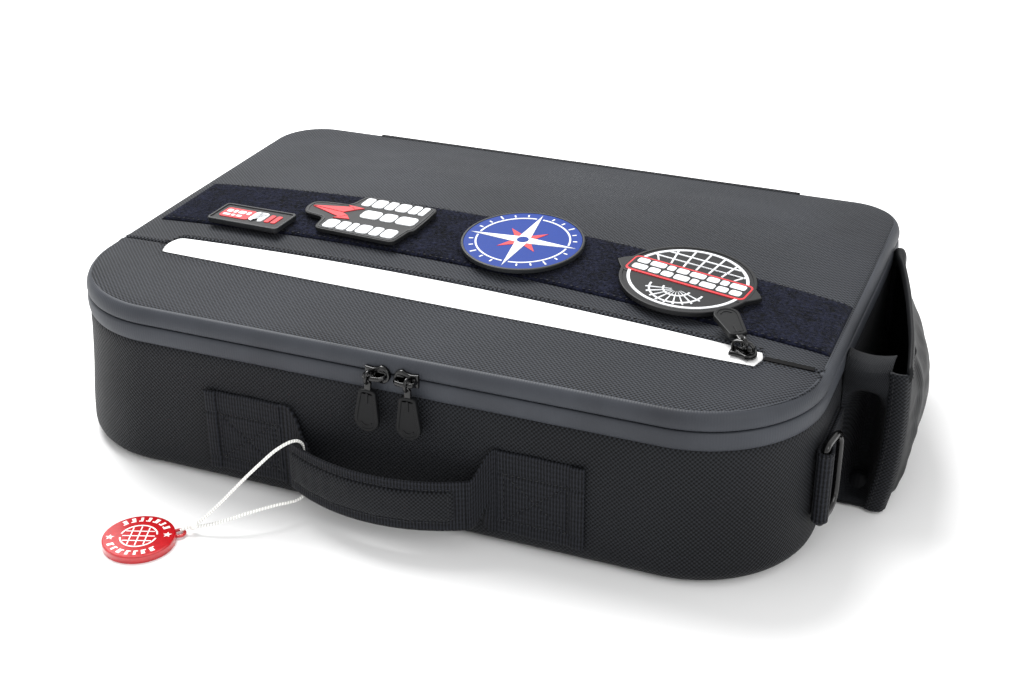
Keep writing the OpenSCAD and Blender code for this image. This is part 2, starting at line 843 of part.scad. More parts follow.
// Smooth point between four route points.
function blend(a, b, c, d, t) = 0.5 * (2 * b + (c - a) * t + (2 * a - 5 * b + 4 * c - d) * t * t
    + (3 * b - a - 3 * c + d) * t * t * t);
function smooth(route) = let (n = len(route) - 1) concat(
    [for (i = [0:n - 1], k = [0:cord_steps - 1])
        blend(route[max(i - 1, 0)], route[i], route[i + 1], route[min(i + 2, n)], k / cord_steps)],
    [route[n]]);

// Tube of the cord's diameter along a route.
module cord_tube(route) {
    path = smooth(route);
    n = len(path);
    up = unit([0.3, -0.8, 0.5]);
    frames = [for (i = [0:n - 1]) let (t = unit(path[min(i + 1, n - 1)] - path[max(i - 1, 0)]),
        side = unit(cross(t, up))) [side, cross(side, t)]];
    rings = [for (i = [0:n - 1], k = [0:cord_sides - 1]) let (a = 360 * k / cord_sides)
        path[i] + cord_d / 2 * (frames[i][0] * cos(a) + frames[i][1] * sin(a))];
    walls = [for (i = [0:n - 2], k = [0:cord_sides - 1]) let (next = (k + 1) % cord_sides)
        [i * cord_sides + k, i * cord_sides + next, (i + 1) * cord_sides + next,
         (i + 1) * cord_sides + k]];
    ends = [[for (k = [cord_sides - 1:-1:0]) k],
        [for (k = [0:cord_sides - 1]) (n - 1) * cord_sides + k]];
    polyhedron(rings, concat(walls, ends));
}

module tag_cord() {
    color("#f6f6f4") cord_tube(cord_route);
}

module tag_cord_return() {
    color("#f6f6f4") cord_tube(return_route);
}

base_panel();
base_foam();
base_lining();
side_wall();
wall_foam();
wall_lining();
lower_zip_tape();
lower_zip_coil();
rear_hinge_lower();
upper_zip_tape();
upper_zip_coil();
rear_hinge_upper();
lid_front_panel();
lid_rear_panel();
lid_foam();
lid_lining();
pocket_lining();
pocket_zip_tape();
pocket_zip_tail();
loop_strip();
bar_patch();
bar_patch_hook();
dart_patch();
dart_patch_hook();
compass_patch();
compass_patch_hook();
globe_patch();
globe_patch_hook();
left_slider_body();
left_pull_link();
left_puller();
right_slider_body();
right_pull_link();
right_puller();
pocket_slider_body();
pocket_pull_link();
pocket_puller();
handle_anchor_left();
handle_anchor_right();
handle_leg_left();
handle_leg_right();
handle_strap();
handle_grip();
d_ring_tab_left();
d_ring_tab_right();
d_ring_left();
d_ring_right();
side_pocket_panel();
side_pocket_hem();
side_pocket_front_gusset();
side_pocket_bottom_gusset();
tag_disc();
tag_knot();
tag_cord();
tag_cord_return();
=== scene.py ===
import math

import bmesh
import bpy
from mathutils import Matrix, Vector, noise


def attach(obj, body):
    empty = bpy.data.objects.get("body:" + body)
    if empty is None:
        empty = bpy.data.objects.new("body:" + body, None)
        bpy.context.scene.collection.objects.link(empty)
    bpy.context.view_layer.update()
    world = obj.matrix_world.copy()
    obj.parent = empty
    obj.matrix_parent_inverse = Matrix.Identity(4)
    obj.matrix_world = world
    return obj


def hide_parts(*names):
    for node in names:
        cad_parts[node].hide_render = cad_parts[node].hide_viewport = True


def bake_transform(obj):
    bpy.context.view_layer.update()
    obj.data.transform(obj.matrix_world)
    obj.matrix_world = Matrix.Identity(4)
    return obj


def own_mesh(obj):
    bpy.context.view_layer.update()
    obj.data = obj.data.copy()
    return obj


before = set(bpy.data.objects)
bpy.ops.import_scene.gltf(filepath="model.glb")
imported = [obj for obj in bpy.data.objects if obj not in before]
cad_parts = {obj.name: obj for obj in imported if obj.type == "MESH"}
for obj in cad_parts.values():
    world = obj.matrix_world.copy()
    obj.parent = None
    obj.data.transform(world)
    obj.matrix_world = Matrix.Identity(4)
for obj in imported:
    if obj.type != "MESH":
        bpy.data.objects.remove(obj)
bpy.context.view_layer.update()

MM = 0.001
SCENE = bpy.context.scene

# Driving sizes of the bag in millimetres, the same as the CAD model's.
BODY_W, BODY_D = 400.0, 276.0
CORNER_FRONT, CORNER_REAR = 62.0, 30.0
WALL_H, BAND_H = 75.0, 19.4
SPLIT_Z = WALL_H + BAND_H / 2
SEAM_Z = WALL_H + BAND_H
CROWN_H = 10.0
HALF_W, HALF_D = BODY_W / 2, BODY_D / 2
FRONT_Y = -HALF_D
HINGE_HALF = HALF_W - CORNER_REAR - 33.0
ZIP_HALF = 167.0
ZIP_Y = (-66.0, -77.5)
ZIP_WIDTH = (18.0, 14.0)
ZIP_BULGE = 6.0
STRIP_W = 56.0


# ---------------------------------------------------------------- camera

def look_from(azimuth, elevation, roll, distance, target, lens):
    """Camera that looks at a point in millimetres from angles in degrees."""
    a, e = math.radians(azimuth), math.radians(elevation)
    back = Vector((math.sin(a) * math.cos(e), -math.cos(a) * math.cos(e), math.sin(e)))
    right = Vector((math.cos(a), math.sin(a), 0))
    up = back.cross(right)
    turn = Matrix.Rotation(math.radians(roll), 3, back)
    axes = Matrix((turn @ right, turn @ up, back)).transposed()
    camera = bpy.data.objects.new("camera", bpy.data.cameras.new("camera"))
    camera.matrix_world = (Matrix.Translation((target + back * distance) * MM)
                           @ axes.to_4x4())
    camera.data.lens = lens
    camera.data.sensor_width = 36.0
    camera.data.clip_start = 0.01
    SCENE.collection.objects.link(camera)
    SCENE.camera = camera
    return camera


look_from(22.46, 27.47, -0.342, 847.0, Vector((16.6, -18.2, 47.1)), 54.3)


# ---------------------------------------------------------------- materials

def to_linear(colour):
    """sRGB hex to linear RGBA."""
    parts = [int(colour[i:i + 2], 16) / 255 for i in (1, 3, 5)]
    return tuple(c / 12.92 if c <= 0.04045 else ((c + 0.055) / 1.055) ** 2.4
                 for c in parts) + (1.0,)


def add_node(tree, kind, inputs=None, **settings):
    """Node with its settings, and its inputs set to a value or linked to a socket."""
    node = tree.nodes.new(kind)
    for key, value in settings.items():
        setattr(node, key, value)
    for key, value in (inputs or {}).items():
        if isinstance(value, bpy.types.NodeSocket):
            tree.links.new(value, node.inputs[key])
        else:
            node.inputs[key].default_value = value
    return node


def new_material(name, colour="#808080", roughness=0.5, specular=0.5, sheen=0.0, coat=0.0):
    """Material with its constants on the shader's own sockets."""
    material = bpy.data.materials.new(name)
    material.use_nodes = True
    tree = material.node_tree
    shader = tree.nodes["Principled BSDF"]
    shader.inputs["Base Color"].default_value = to_linear(colour)
    shader.inputs["Roughness"].default_value = roughness
    shader.inputs["Specular IOR Level"].default_value = specular
    shader.inputs["Sheen Weight"].default_value = sheen
    shader.inputs["Sheen Roughness"].default_value = 0.5
    shader.inputs["Coat Weight"].default_value = coat
    shader.inputs["Coat Roughness"].default_value = 0.08
    return material, tree, shader


def finish_material(material, tree, shader, tone, stops, height, depth_mm):
    """Colour from a tone through (position, hex) stops, and a bump of a real depth."""
    colours = add_node(tree, "ShaderNodeValToRGB", {"Fac": tone})
    elements = colours.color_ramp.elements
    while len(elements) < len(stops):
        elements.new(0.5)
    for element, (position, colour) in zip(elements, stops):
        element.position = position
        element.color = to_linear(colour)
    relief = add_node(tree, "ShaderNodeBump", {"Height": height, "Distance": depth_mm * MM})
    tree.links.new(colours.outputs[0], shader.inputs["Base Color"])
    tree.links.new(relief.outputs[0], shader.inputs["Normal"])
    return material


def yarn_pattern(tree, pitch_across, pitch_along, turn=0.0):
    """Two waves on the cloth's own directions, and the cloth vector."""
    uv = add_node(tree, "ShaderNodeUVMap", uv_map="cloth").outputs[0]
    cloth = add_node(tree, "ShaderNodeMapping",
                     {"Vector": uv, "Rotation": (0, 0, math.radians(turn))}).outputs[0]
    parts = add_node(tree, "ShaderNodeSeparateXYZ", {0: cloth})
    waves = []
    for socket, pitch in zip(parts.outputs[:2], (pitch_across, pitch_along)):
        turned = add_node(tree, "ShaderNodeMath", {0: socket, 1: 2 * math.pi / (pitch * MM)},
                          operation="MULTIPLY").outputs[0]
        waves.append(add_node(tree, "ShaderNodeMath", {0: turned},
                              operation="SINE").outputs[0])
    return waves[0], waves[1], cloth


def woven(name, dark, light, cell_mm, turn=0.0, roughness=0.55, depth_mm=0.45, sheen=0.02):
    """Ballistic nylon: a basket weave of thick filament yarns, whose crowns are painted lighter in the
    colour as a painted highlight, a soft glint.
    Its cells are drawn a little larger than the real 1 mm ones, so that they show."""
    material, tree, shader = new_material(name, light, roughness, 0.13, sheen)
    across, along, cloth = yarn_pattern(tree, 2 * cell_mm, 2 * cell_mm, turn)
    check = add_node(tree, "ShaderNodeMath", {0: across, 1: along}, operation="MULTIPLY").outputs[0]
    # painted highlight: the weave's yarn crowns are drawn lighter in the colour, as well as raised in
    # the bump
    crown = add_node(tree, "ShaderNodeMath", {0: check, 1: 0.38, 2: 0.42},
                     operation="MULTIPLY_ADD").outputs[0]
    grain = add_node(tree, "ShaderNodeTexNoise", {"Vector": cloth, "Scale": 900.0, "Detail": 2.0})
    lift = add_node(tree, "ShaderNodeMath", {0: grain.outputs[0], 1: 0.3, 2: crown},
                    operation="MULTIPLY_ADD").outputs[0]
    wear = add_node(tree, "ShaderNodeTexNoise", {"Vector": cloth, "Scale": 8.0, "Detail": 4.0})
    tone = add_node(tree, "ShaderNodeMath", {0: wear.outputs[0], 1: 0.45, 2: lift},
                    operation="MULTIPLY_ADD").outputs[0]
    return finish_material(material, tree, shader, tone, ((0.56, dark), (1.0, light)),
                           lift, depth_mm)


def webbing_cloth(name, dark, light, rib_mm=1.6):
    """Polypropylene webbing: firm ribs across the strap, broken by the warp."""
    material, tree, shader = new_material(name, light, 0.65, 0.14, 0.02)
    rib, warp, cloth = yarn_pattern(tree, rib_mm, rib_mm * 1.7)
    grain = add_node(tree, "ShaderNodeTexNoise", {"Vector": cloth, "Scale": 1100.0, "Detail": 2.0})
    ribs = add_node(tree, "ShaderNodeMath", {0: rib, 1: 0.34, 2: grain.outputs[0]},
                    operation="MULTIPLY_ADD").outputs[0]
    height = add_node(tree, "ShaderNodeMath", {0: warp, 1: 0.12, 2: ribs},
                      operation="MULTIPLY_ADD").outputs[0]
    return finish_material(material, tree, shader, height, ((0.15, dark), (0.9, light)),
                           height, 0.35)


def coated_cloth(name, dark, light, roughness, rib_mm, rib_part, crease_scale, depth_mm,
                 specular=0.4):
    """Polyurethane-coated cloth: satin film over a weave that shows through faintly."""
    material, tree, shader = new_material(name, light, roughness, specular)
    ribs, _, cloth = yarn_pattern(tree, rib_mm, rib_mm)
    wear = add_node(tree, "ShaderNodeTexNoise", {"Vector": cloth, "Scale": 20.0, "Detail": 5.0})
    crease = add_node(tree, "ShaderNodeTexNoise",
                      {"Vector": cloth, "Scale": crease_scale, "Detail": 4.0})
    height = add_node(tree, "ShaderNodeMath", {0: ribs, 1: rib_part, 2: crease.outputs[0]},
                      operation="MULTIPLY_ADD").outputs[0]
    return finish_material(material, tree, shader, wear.outputs[0], ((0.3, dark), (0.7, light)),
                           height, depth_mm)


def loop_pile():
    """Loop side of hook-and-loop: a napped navy-black pile, mottled where the loops lie over."""
    material, tree, shader = new_material("napped_loop_pile", "#141624", 0.95, 0.04, 0.04)
    place = add_node(tree, "ShaderNodeTexCoord").outputs["Object"]
    tufts = add_node(tree, "ShaderNodeTexNoise",
                     {"Vector": place, "Scale": 520.0, "Detail": 4.0, "Roughness": 0.7})
    naps = add_node(tree, "ShaderNodeTexNoise", {"Vector": place, "Scale": 110.0, "Detail": 3.0})
    tone = add_node(tree, "ShaderNodeMath", {0: naps.outputs[0], 1: 0.35, 2: tufts.outputs[0]},
                    operation="MULTIPLY_ADD").outputs[0]
    return finish_material(material, tree, shader, tone, ((0.52, "#010204"), (0.88, "#1d2032")),
                           tone, 1.3)


def speckled(name, dark, light, roughness, grit_mm, depth_mm, specular=0.5, coat=0.0):
    """Moulded, lacquered or printed surface: one colour with a fine grit."""
    material, tree, shader = new_material(name, light, roughness, specular, 0.0, coat)
    place = add_node(tree, "ShaderNodeTexCoord").outputs["Object"]
    grit = add_node(tree, "ShaderNodeTexNoise",
                    {"Vector": place, "Scale": 1 / (grit_mm * MM), "Detail": 3.0}).outputs[0]
    return finish_material(material, tree, shader, grit, ((0.3, dark), (0.7, light)),
                           grit, depth_mm)


def elastic():
    """Braided elastic: fine slanting strands round a white cord."""
    material, tree, shader = new_material("white_braided_elastic", "#f4f4f0", 0.75, 0.3, 0.2)
    around, _, _ = yarn_pattern(tree, 1.2, 1.6, 35)
    braid = add_node(tree, "ShaderNodeMath", {0: around, 1: 0.5, 2: 0.5},
                     operation="MULTIPLY_ADD").outputs[0]
    return finish_material(material, tree, shader, braid, ((0.1, "#cfcfca"), (0.8, "#fafaf7")),
                           braid, 0.15)


NYLON = woven("ballistic_nylon", "#000001", "#212327", 1.15)
# painted light: the lid's nylon is a lighter copy of the wall's, standing for the stronger light on
# the lid's upward face
NYLON_LID_PAINTED_LIGHTER = woven("ballistic_nylon_lid_painted_lighter", "#000001", "#34373d", 1.15)
NYLON_FINE = woven("ballistic_nylon_gusset", "#000001", "#222428", 1.05)
WEBBING = webbing_cloth("polypropylene_webbing", "#010102", "#22242a")
COATED = coated_cloth("polyurethane_coated_tape", "#2d2f34", "#3b3e44", 0.52, 1.4, 0.35, 260.0, 0.07,
                      0.24)
COATED_POCKET = coated_cloth("polyurethane_coated_nylon", "#08090a", "#17181b", 0.52, 2.0, 0.05,
                             55.0, 0.6, 0.16)
WHITE_TAPE = coated_cloth("white_coated_tape", "#e9e9e9", "#ffffff", 0.5, 900.0, 0.0, 70.0, 0.12)
PILE = loop_pile()
ELASTIC = elastic()
LINING = woven("brushed_tricot_lining", "#2f3237", "#4d5158", 1.2, 45, 0.85, 0.12, 0.4)
THREAD = speckled("bonded_nylon_thread", "#070708", "#1c1d21", 0.5, 0.3, 0.05)
COIL = speckled("moulded_nylon_coil", "#030303", "#0b0b0d", 0.75, 0.4, 0.03, 0.12)
ZINC = speckled("black_lacquered_zinc", "#030303", "#070708", 0.2, 0.9, 0.008, 0.35, 0.25)
RUBBER = speckled("moulded_rubber", "#08090a", "#0f1012", 0.48, 0.25, 0.03, 0.2)
PVC_DARK = speckled("moulded_pvc_dark", "#0a0b0c", "#121316", 0.5, 0.35, 0.03, 0.3)
PVC_RIM = speckled("moulded_pvc_rim", "#16181a", "#222427", 0.45, 0.35, 0.03, 0.35)
PVC_BLUE = speckled("moulded_pvc_blue", "#052a74", "#083386", 0.55, 0.3, 0.03, 0.2)
PVC_WHITE = speckled("moulded_pvc_white", "#cfd1d4", "#e2e4e6", 0.5, 0.35, 0.03, 0.3)
PVC_RED = speckled("moulded_pvc_red", "#b8141f", "#cf2029", 0.5, 0.35, 0.03)
HOOK = speckled("moulded_hook_tape", "#08080a", "#1b1b1e", 0.7, 0.8, 0.6)
TAG_RED = speckled("glossy_acrylic_red", "#a80510", "#bd0916", 0.2, 2.0, 0.01, 0.5, 0.8)
TAG_WHITE = speckled("screen_print_white", "#f0e4e2", "#ffffff", 0.35, 0.4, 0.01)


# ---------------------------------------------------------------- mesh helpers

def add_piece(name, bm, material, body, replaces=(), smooth=True, second=None):
    """Finish a bmesh as an object in metres that rides on a body."""
    mesh = bpy.data.meshes.new(name)
    bm.to_mesh(mesh)
    bm.free()
    mesh.transform(Matrix.Scale(MM, 4))
    for face in mesh.polygons:
        face.use_smooth = smooth
    mesh.materials.append(material)
    if second is not None:
        mesh.materials.append(second)
    piece = bpy.data.objects.new(name, mesh)
    SCENE.collection.objects.link(piece)
    if body is not None:
        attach(piece, body)
    if replaces:
        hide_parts(*replaces)
    return piece


def mapped_grid(across, up, place, closed=False):
    """Sheet whose vertices come from place(s, t), with s and t from 0 to 1.

    place gives a point and the cloth's own position there, both in millimetres.
    """
    bm = bmesh.new()
    bmesh.ops.create_grid(bm, x_segments=across, y_segments=up, size=0.5)
    cloth = bm.loops.layers.uv.new("cloth")
    spots = {}
    for vert in bm.verts:
        s, t = vert.co.x + 0.5, vert.co.y + 0.5
        point, flat = place(s, t)
        spots[vert] = flat
        vert.co = point
    for face in bm.faces:
        for loop in face.loops:
            loop[cloth].uv = (spots[loop.vert][0] * MM, spots[loop.vert][1] * MM)
    if closed:
        bmesh.ops.remove_doubles(bm, verts=bm.verts, dist=0.001)
    return bm


def thicken(piece, thickness_mm, offset=-1.0, rim=True):
    """Give a sheet its thickness, inwards by default."""
    solid = piece.modifiers.new("thickness", "SOLIDIFY")
    solid.thickness = thickness_mm * MM
    solid.offset = offset
    solid.use_rim = rim
    return piece


def face_out(bm):
    bmesh.ops.recalc_face_normals(bm, faces=bm.faces)
    return bm


def ripple(x, y, z, size, seed=0.0):
    """Smooth noise from about -1 to 1 with a wavelength in millimetres."""
    return noise.noise(Vector((x / size + seed, y / size - seed, z / size + 0.7 * seed)))


def ease(t):
    t = min(1.0, max(0.0, t))
    return t * t * (3 - 2 * t)


def stitch_row(name, path, body, material=None, length=2.6, gap=1.0, thick=0.55):
    """Row of lockstitches along (point, normal) pairs, each a small long bead."""
    bm = bmesh.new()
    points = [p for p, n in path]
    normals = [n for p, n in path]
    travelled = 0.0
    nxt = 0.0
    for i in range(len(points) - 1):
        a, b = points[i], points[i + 1]
        span = (b - a).length
        if span < 1e-6:
            continue
        way = (b - a) / span
        while nxt <= travelled + span:
            at = a + way * (nxt - travelled)
            side = way.cross(normals[i]).normalized()
            axes = Matrix((way * length / 2, side * thick / 2, normals[i] * thick / 2)).transposed()
            bmesh.ops.create_icosphere(bm, subdivisions=1, radius=1.0,
                                       matrix=Matrix.Translation(at) @ axes.to_4x4())
            nxt += length + gap
        travelled += span
    return add_piece(name, bm, material or THREAD, body)


# ---------------------------------------------------------------- shapes of the bag

def corner_radius(y):
    """The two front corners are rounder than the two rear ones."""
    return CORNER_FRONT if y < 0 else CORNER_REAR


def outline(share, inset):
    """Place on the plan, its outward normal and the distance round to it. The share runs from 0
    at the middle of the rear, by the left side, to 1 at the rear again."""
    left = share * PERIMETER
    far = left
    fx, fy, rx, ry = (HALF_W - CORNER_FRONT, HALF_D - CORNER_FRONT,
                      HALF_W - CORNER_REAR, HALF_D - CORNER_REAR)
    legs = [(rx, (0, HALF_D), (-1, 0), (-rx, ry), 90, CORNER_REAR),
            (ry + fy, (-HALF_W, ry), (0, -1), (-fx, -fy), 180, CORNER_FRONT),
            (2 * fx, (-fx, -HALF_D), (1, 0), (fx, -fy), 270, CORNER_FRONT),
            (ry + fy, (HALF_W, -fy), (0, 1), (rx, ry), 0, CORNER_REAR),
            (rx + 1, (rx, HALF_D), (-1, 0), None, 0, 0)]
    for length, start, way, centre, angle, radius in legs:
        normal = Vector((way[1], -way[0], 0))
        if left <= length:
            return (Vector((start[0] + way[0] * left, start[1] + way[1] * left, 0))
                    - normal * inset, normal, far)
        left -= length
        quarter = math.pi * radius / 2
        if left <= quarter:
            a = math.radians(angle + 90 * left / quarter)
            normal = Vector((math.cos(a), math.sin(a), 0))
            return Vector((*centre, 0)) + normal * (radius - inset), normal, far
        left -= quarter
    raise ValueError("share of the outline out of range")


PERIMETER = (4 * (HALF_W + HALF_D) + (math.pi - 4) * (CORNER_FRONT + CORNER_REAR))
ZIP_START = HINGE_HALF / PERIMETER           # share at which the band zip begins


def lid_rise(x, y):
    """Height of the crown over the lid's seam."""
    t = (y - FRONT_Y) / BODY_D
    across = max(0.0, 1 - (x / HALF_W) ** 2)
    along = max(0.0, math.sin(math.radians(150 * t))) ** 2 * (1 - max(0.0, t) ** 8)
    return CROWN_H * across * along


def edge_distance(x, y):
    """How far a place on the lid is inside the outline."""
    radius = corner_radius(y)
    cx, cy = abs(x) - (HALF_W - radius), abs(y) - (HALF_D - radius)
    if cx > 0 and cy > 0:
        return radius - math.hypot(cx, cy)
    return min(HALF_W - abs(x), HALF_D - abs(y))


def zip_share(x):
    return (x + ZIP_HALF) / (2 * ZIP_HALF)


def zip_y(x):
    return ZIP_Y[0] + (ZIP_Y[1] - ZIP_Y[0]) * zip_share(x)


def zip_half(x):
    """Half of the white tape's width, which closes to nothing past its ends."""
    share = zip_share(x)
    if share < 0 or share > 1:
        return 0.0
    width = (ZIP_WIDTH[0] + (ZIP_WIDTH[1] - ZIP_WIDTH[0]) * share) / 2
    width += 2 * ZIP_BULGE * share * (1 - share)
    left = (x + ZIP_HALF) / 5.0
    return width * (math.sqrt(1 - (1 - left) ** 2) * 0.35 + 0.65 if left < 1 else 1.0)


def strip_mid(x):
    return -15.5 - 0.06 * x - 6.0 * (x / HALF_W) ** 2


def lid_skin(x, y):
    """Height of the lid's fabric: the crown, sunk at its seams and softly creased."""
    z = SEAM_Z + lid_rise(x, y)
    edge = edge_distance(x, y)
    z -= 1.7 * math.exp(-max(0.0, edge) / 3.0)
    loose = ease((y - 25) / 50) * ease(edge / 30)
    creases = 1.5 * ripple(x * 0.5, y, 0, 46, 3.1) + 0.5 * ripple(x, y * 1.3, 0, 19, 8.3)
    z += loose * creases * (0.55 + 0.45 * ease((-x) / 150))
    front = ease((-y - 80) / 15) * ease(edge / 12)
    z += front * (0.7 * ripple(x * 0.5, y, 0, 40, 5.7) + 0.35)
    return z


def lid_normal(x, y):
    dx = (lid_skin(x + 1, y) - lid_skin(x - 1, y)) / 2
    dy = (lid_skin(x, y + 1) - lid_skin(x, y - 1)) / 2
    return Vector((-dx, -dy, 1)).normalized()


def on_lid(x, y, up=0.0):
    return Vector((x, y, lid_skin(x, y))) + lid_normal(x, y) * up


def plan_point(a, b, inset):
    """Place in the plan from a square's two coordinates, -1 to 1, with the corners rounded."""
    hw, hd, r = HALF_W - inset, HALF_D - inset, corner_radius(b) - inset
    x, y = a * hw, b * hd
    p, q = (abs(x) - (hw - r)) / r, (abs(y) - (hd - r)) / r
    if p > 0 and q > 0:
        x = math.copysign(hw - r + r * p * math.sqrt(1 - q * q / 2), a)
        y = math.copysign(hd - r + r * q * math.sqrt(1 - p * p / 2), b)
    return x, y


# ---------------------------------------------------------------- side wall and base

def wall_cover():
    """Outer fabric of the wall, rolled under at the foot and tucked under the band at the top."""
    foot, top = 9.0, WALL_H
    profile = [(26.0, 0.35), (12.0, 0.35)]
    profile += [(foot * (1 - math.sin(a)) - 0.3, foot * (1 - math.cos(a)) + 0.35)
                for a in [math.radians(15 * k) for k in range(1, 7)]]
    profile += [(-0.3, z) for z in (14, 19, 25, 31, 37, 43, 49, 55, 61, 66, 70)]
    profile += [(0.0, 73.0), (0.8, top + 0.4), (2.4, top + 1.2)]
    rows = len(profile) - 1

    def place(s, t):
        inset, z = profile[round(t * rows)]
        point, normal, far = outline(s, inset)
        swell = math.sin(math.pi * min(1.0, max(0.0, (z - 4) / 68)))
        dent = 0.75 * ripple(point.x * 0.6, point.y * 0.6, z * 1.2, 42, 2.2)
        dent += 0.3 * ripple(point.x, point.y, z, 17, 5.2)
        sag = 6.5 * max(0.0, -normal.x) * ease((60 - point.y) / 70) * (1 - ease(z / 72))
        point = point + normal * (swell * (0.1 + dent * 0.8) + sag)
        return Vector((point.x, point.y, z)), (far, z if z > 1 else z - inset)

    bm = mapped_grid(320, rows, place, closed=True)
    face_out(bm)
    piece = add_piece("wall_cover", bm, NYLON, "bag", ("side_wall",))
    thicken(piece, 0.8, -1)
    return piece


def base_cover():
    """Flat fabric of the underside, inside the wall's rolled foot."""
    bm = mapped_grid(60, 44, lambda s, t: (
        Vector((*plan_point(2 * s - 1, 2 * t - 1, 25.0), 0.3)),
        plan_point(2 * s - 1, 2 * t - 1, 25.0)))
    bmesh.ops.reverse_faces(bm, faces=bm.faces)
    piece = add_piece("base_cover", bm, NYLON, "bag", ("base_panel",))
    thicken(piece, 0.25, -1)
    return piece


def band(name, profile, body, node):
    """One half of the coated zip band, from a list of (inset, z), round to the rear corners."""
    rows = len(profile) - 1

    def place(s, t):
        inset, z = profile[round(t * rows)]
        share = ZIP_START + (1 - 2 * ZIP_START) * s
        point, normal, far = outline(share, inset)
        wander = 0.22 * ripple(point.x, point.y, 0, 60, 4.4)
        return Vector((point.x, point.y, z)) + normal * wander, (far, z)

    bm = mapped_grid(300, rows, place)
    face_out(bm)
    piece = add_piece(name, bm, COATED, body, (node,))
    thicken(piece, 0.7, -1)
    return piece


def bands():
    """Both halves of the band: each rolls in at its seam and dips to the closed line between."""
    low = [(2.2, WALL_H - 0.6), (0.8, WALL_H - 0.5), (0.1, WALL_H + 0.1), (-0.5, WALL_H + 1.4),
           (-0.8, WALL_H + 3.4), (-0.85, WALL_H + 5.6), (-0.6, WALL_H + 7.8),
           (-0.2, SPLIT_Z - 0.8), (0.5, SPLIT_Z - 0.25), (1.6, SPLIT_Z - 0.3)]
    high = [(1.6, SPLIT_Z + 0.3), (0.5, SPLIT_Z + 0.25), (-0.2, SPLIT_Z + 0.8),
            (-0.5, SPLIT_Z + 2.0), (-0.5, SPLIT_Z + 3.8), (-0.1, SPLIT_Z + 5.6),
            (0.6, SPLIT_Z + 7.2), (1.7, SPLIT_Z + 8.6), (3.0, SPLIT_Z + 9.3), (4.2, SEAM_Z - 0.6)]
    band("lower_band", low, "bag", "lower_zip_tape")
    band("upper_band", high, "lid", "upper_zip_tape")


# ---------------------------------------------------------------- lid fabric

def lid_panel(name, side, node):
    """Front or rear fabric panel of the lid, with its edge turned down along the white tape."""
    seam_share = -0.52

    def place(s, t):
        a = 2 * s - 1
        b = seam_share + (1 - seam_share) * t if side > 0 else seam_share - (1 + seam_share) * t
        x, y = plan_point(a, b, 2.6)
        row = plan_point(a, seam_share, 2.6)[1]
        edge = zip_y(x) + side * (zip_half(x) + 0.15)
        y += (edge - row) * (1 - t) ** 1.5
        z = lid_skin(x, y)
        from_zip = abs(y - edge)
        z += 0.55 * math.exp(-((from_zip - 2.0) / 2.2) ** 2)
        if t == 0:
            z -= 1.1
        return Vector((x, y, z)), (x, y)

    bm = mapped_grid(190, 84 if side > 0 else 40, place)
    if side < 0:
        bmesh.ops.reverse_faces(bm, faces=bm.faces)
    piece = add_piece(name, bm, NYLON_LID_PAINTED_LIGHTER, "lid", (node,))
    thicken(piece, 0.9, -1)
    return piece


def pocket_tape():
    """White tape that shows between the two panels, faintly arched."""
    def place(s, t):
        x = -ZIP_HALF - 0.5 + (2 * ZIP_HALF + 1.5) * s
        half = max(zip_half(max(-ZIP_HALF, min(ZIP_HALF, x))), 2.0) + 0.9
        y = zip_y(x) + half * (2 * t - 1)
        arch = 0.5 * math.cos(math.pi * (t - 0.5))
        return Vector((x, y, lid_skin(x, y) - 0.75 + arch)), (x, y)

    bm = mapped_grid(150, 10, place)
    piece = add_piece("pocket_tape", bm, WHITE_TAPE, "lid", ("pocket_zip_tape",))
    thicken(piece, 0.5, -1)
    return piece


def display_strip():
    """Loop strip with a napped surface and its edges sewn down."""
    left, right = -HALF_W + 9.0, HALF_W - 3.5

    def place(s, t):
        x = left + (right - left) * s
        j = 2 * t - 1
        y = strip_mid(x) + j * STRIP_W / 2
        rim = min(1 - abs(j), 10 * min(s, 1 - s))
        up = 0.2 + 1.55 * (1 - math.exp(-rim * STRIP_W / 2 / 1.3))
        nap = 0.22 * ripple(x, y, 0, 2.6, 1.0) + 0.12 * ripple(x, y, 0, 1.3, 7.0)
        spot = on_lid(x, y, up + nap * min(1.0, rim * 12))
        return spot, (x, y)

    bm = mapped_grid(330, 60, place)
    piece = add_piece("display_strip", bm, PILE, "lid", ("loop_strip",))
    thicken(piece, 0.3, -1)
    return piece


def loop_fibres():
    """Stray loops of the pile: short bent hairs scattered over the strip."""
    bm = bmesh.new()
    bmesh.ops.create_grid(bm, x_segments=2, y_segments=1, size=1.0)
    for _ in range(13):
        bmesh.ops.duplicate(bm, geom=bm.verts[:] + bm.edges[:] + bm.faces[:])
    left, right = -HALF_W + 12.0, HALF_W - 6.0
    for index, vert in enumerate(bm.verts):
        k = index // 6
        x = left + (right - left) * ((k * 0.6180339887) % 1.0)
        j = 2 * ((k * 0.7548776662) % 1.0) - 1
        y = strip_mid(x) + j * (STRIP_W / 2 - 0.8)
        spin = 6.283 * ((k * 0.5698402910) % 1.0)
        reach = 0.9 + 0.9 * ((k * 0.3247179572) % 1.0)
        step, edge = round(vert.co.x) + 1, 0.09 * vert.co.y
        run, up = ((0, 0), (0.35 * reach, 0.65), (reach, 0.25))[step]
        way = Vector((math.cos(spin), math.sin(spin), 0))
        vert.co = (Vector((x, y, SEAM_Z + lid_rise(x, y) + 1.5 + up)) + way * run
                   + Vector((-way.y, way.x, 0)) * edge)
    return add_piece("strip_loops", bm, PILE, "lid", ())


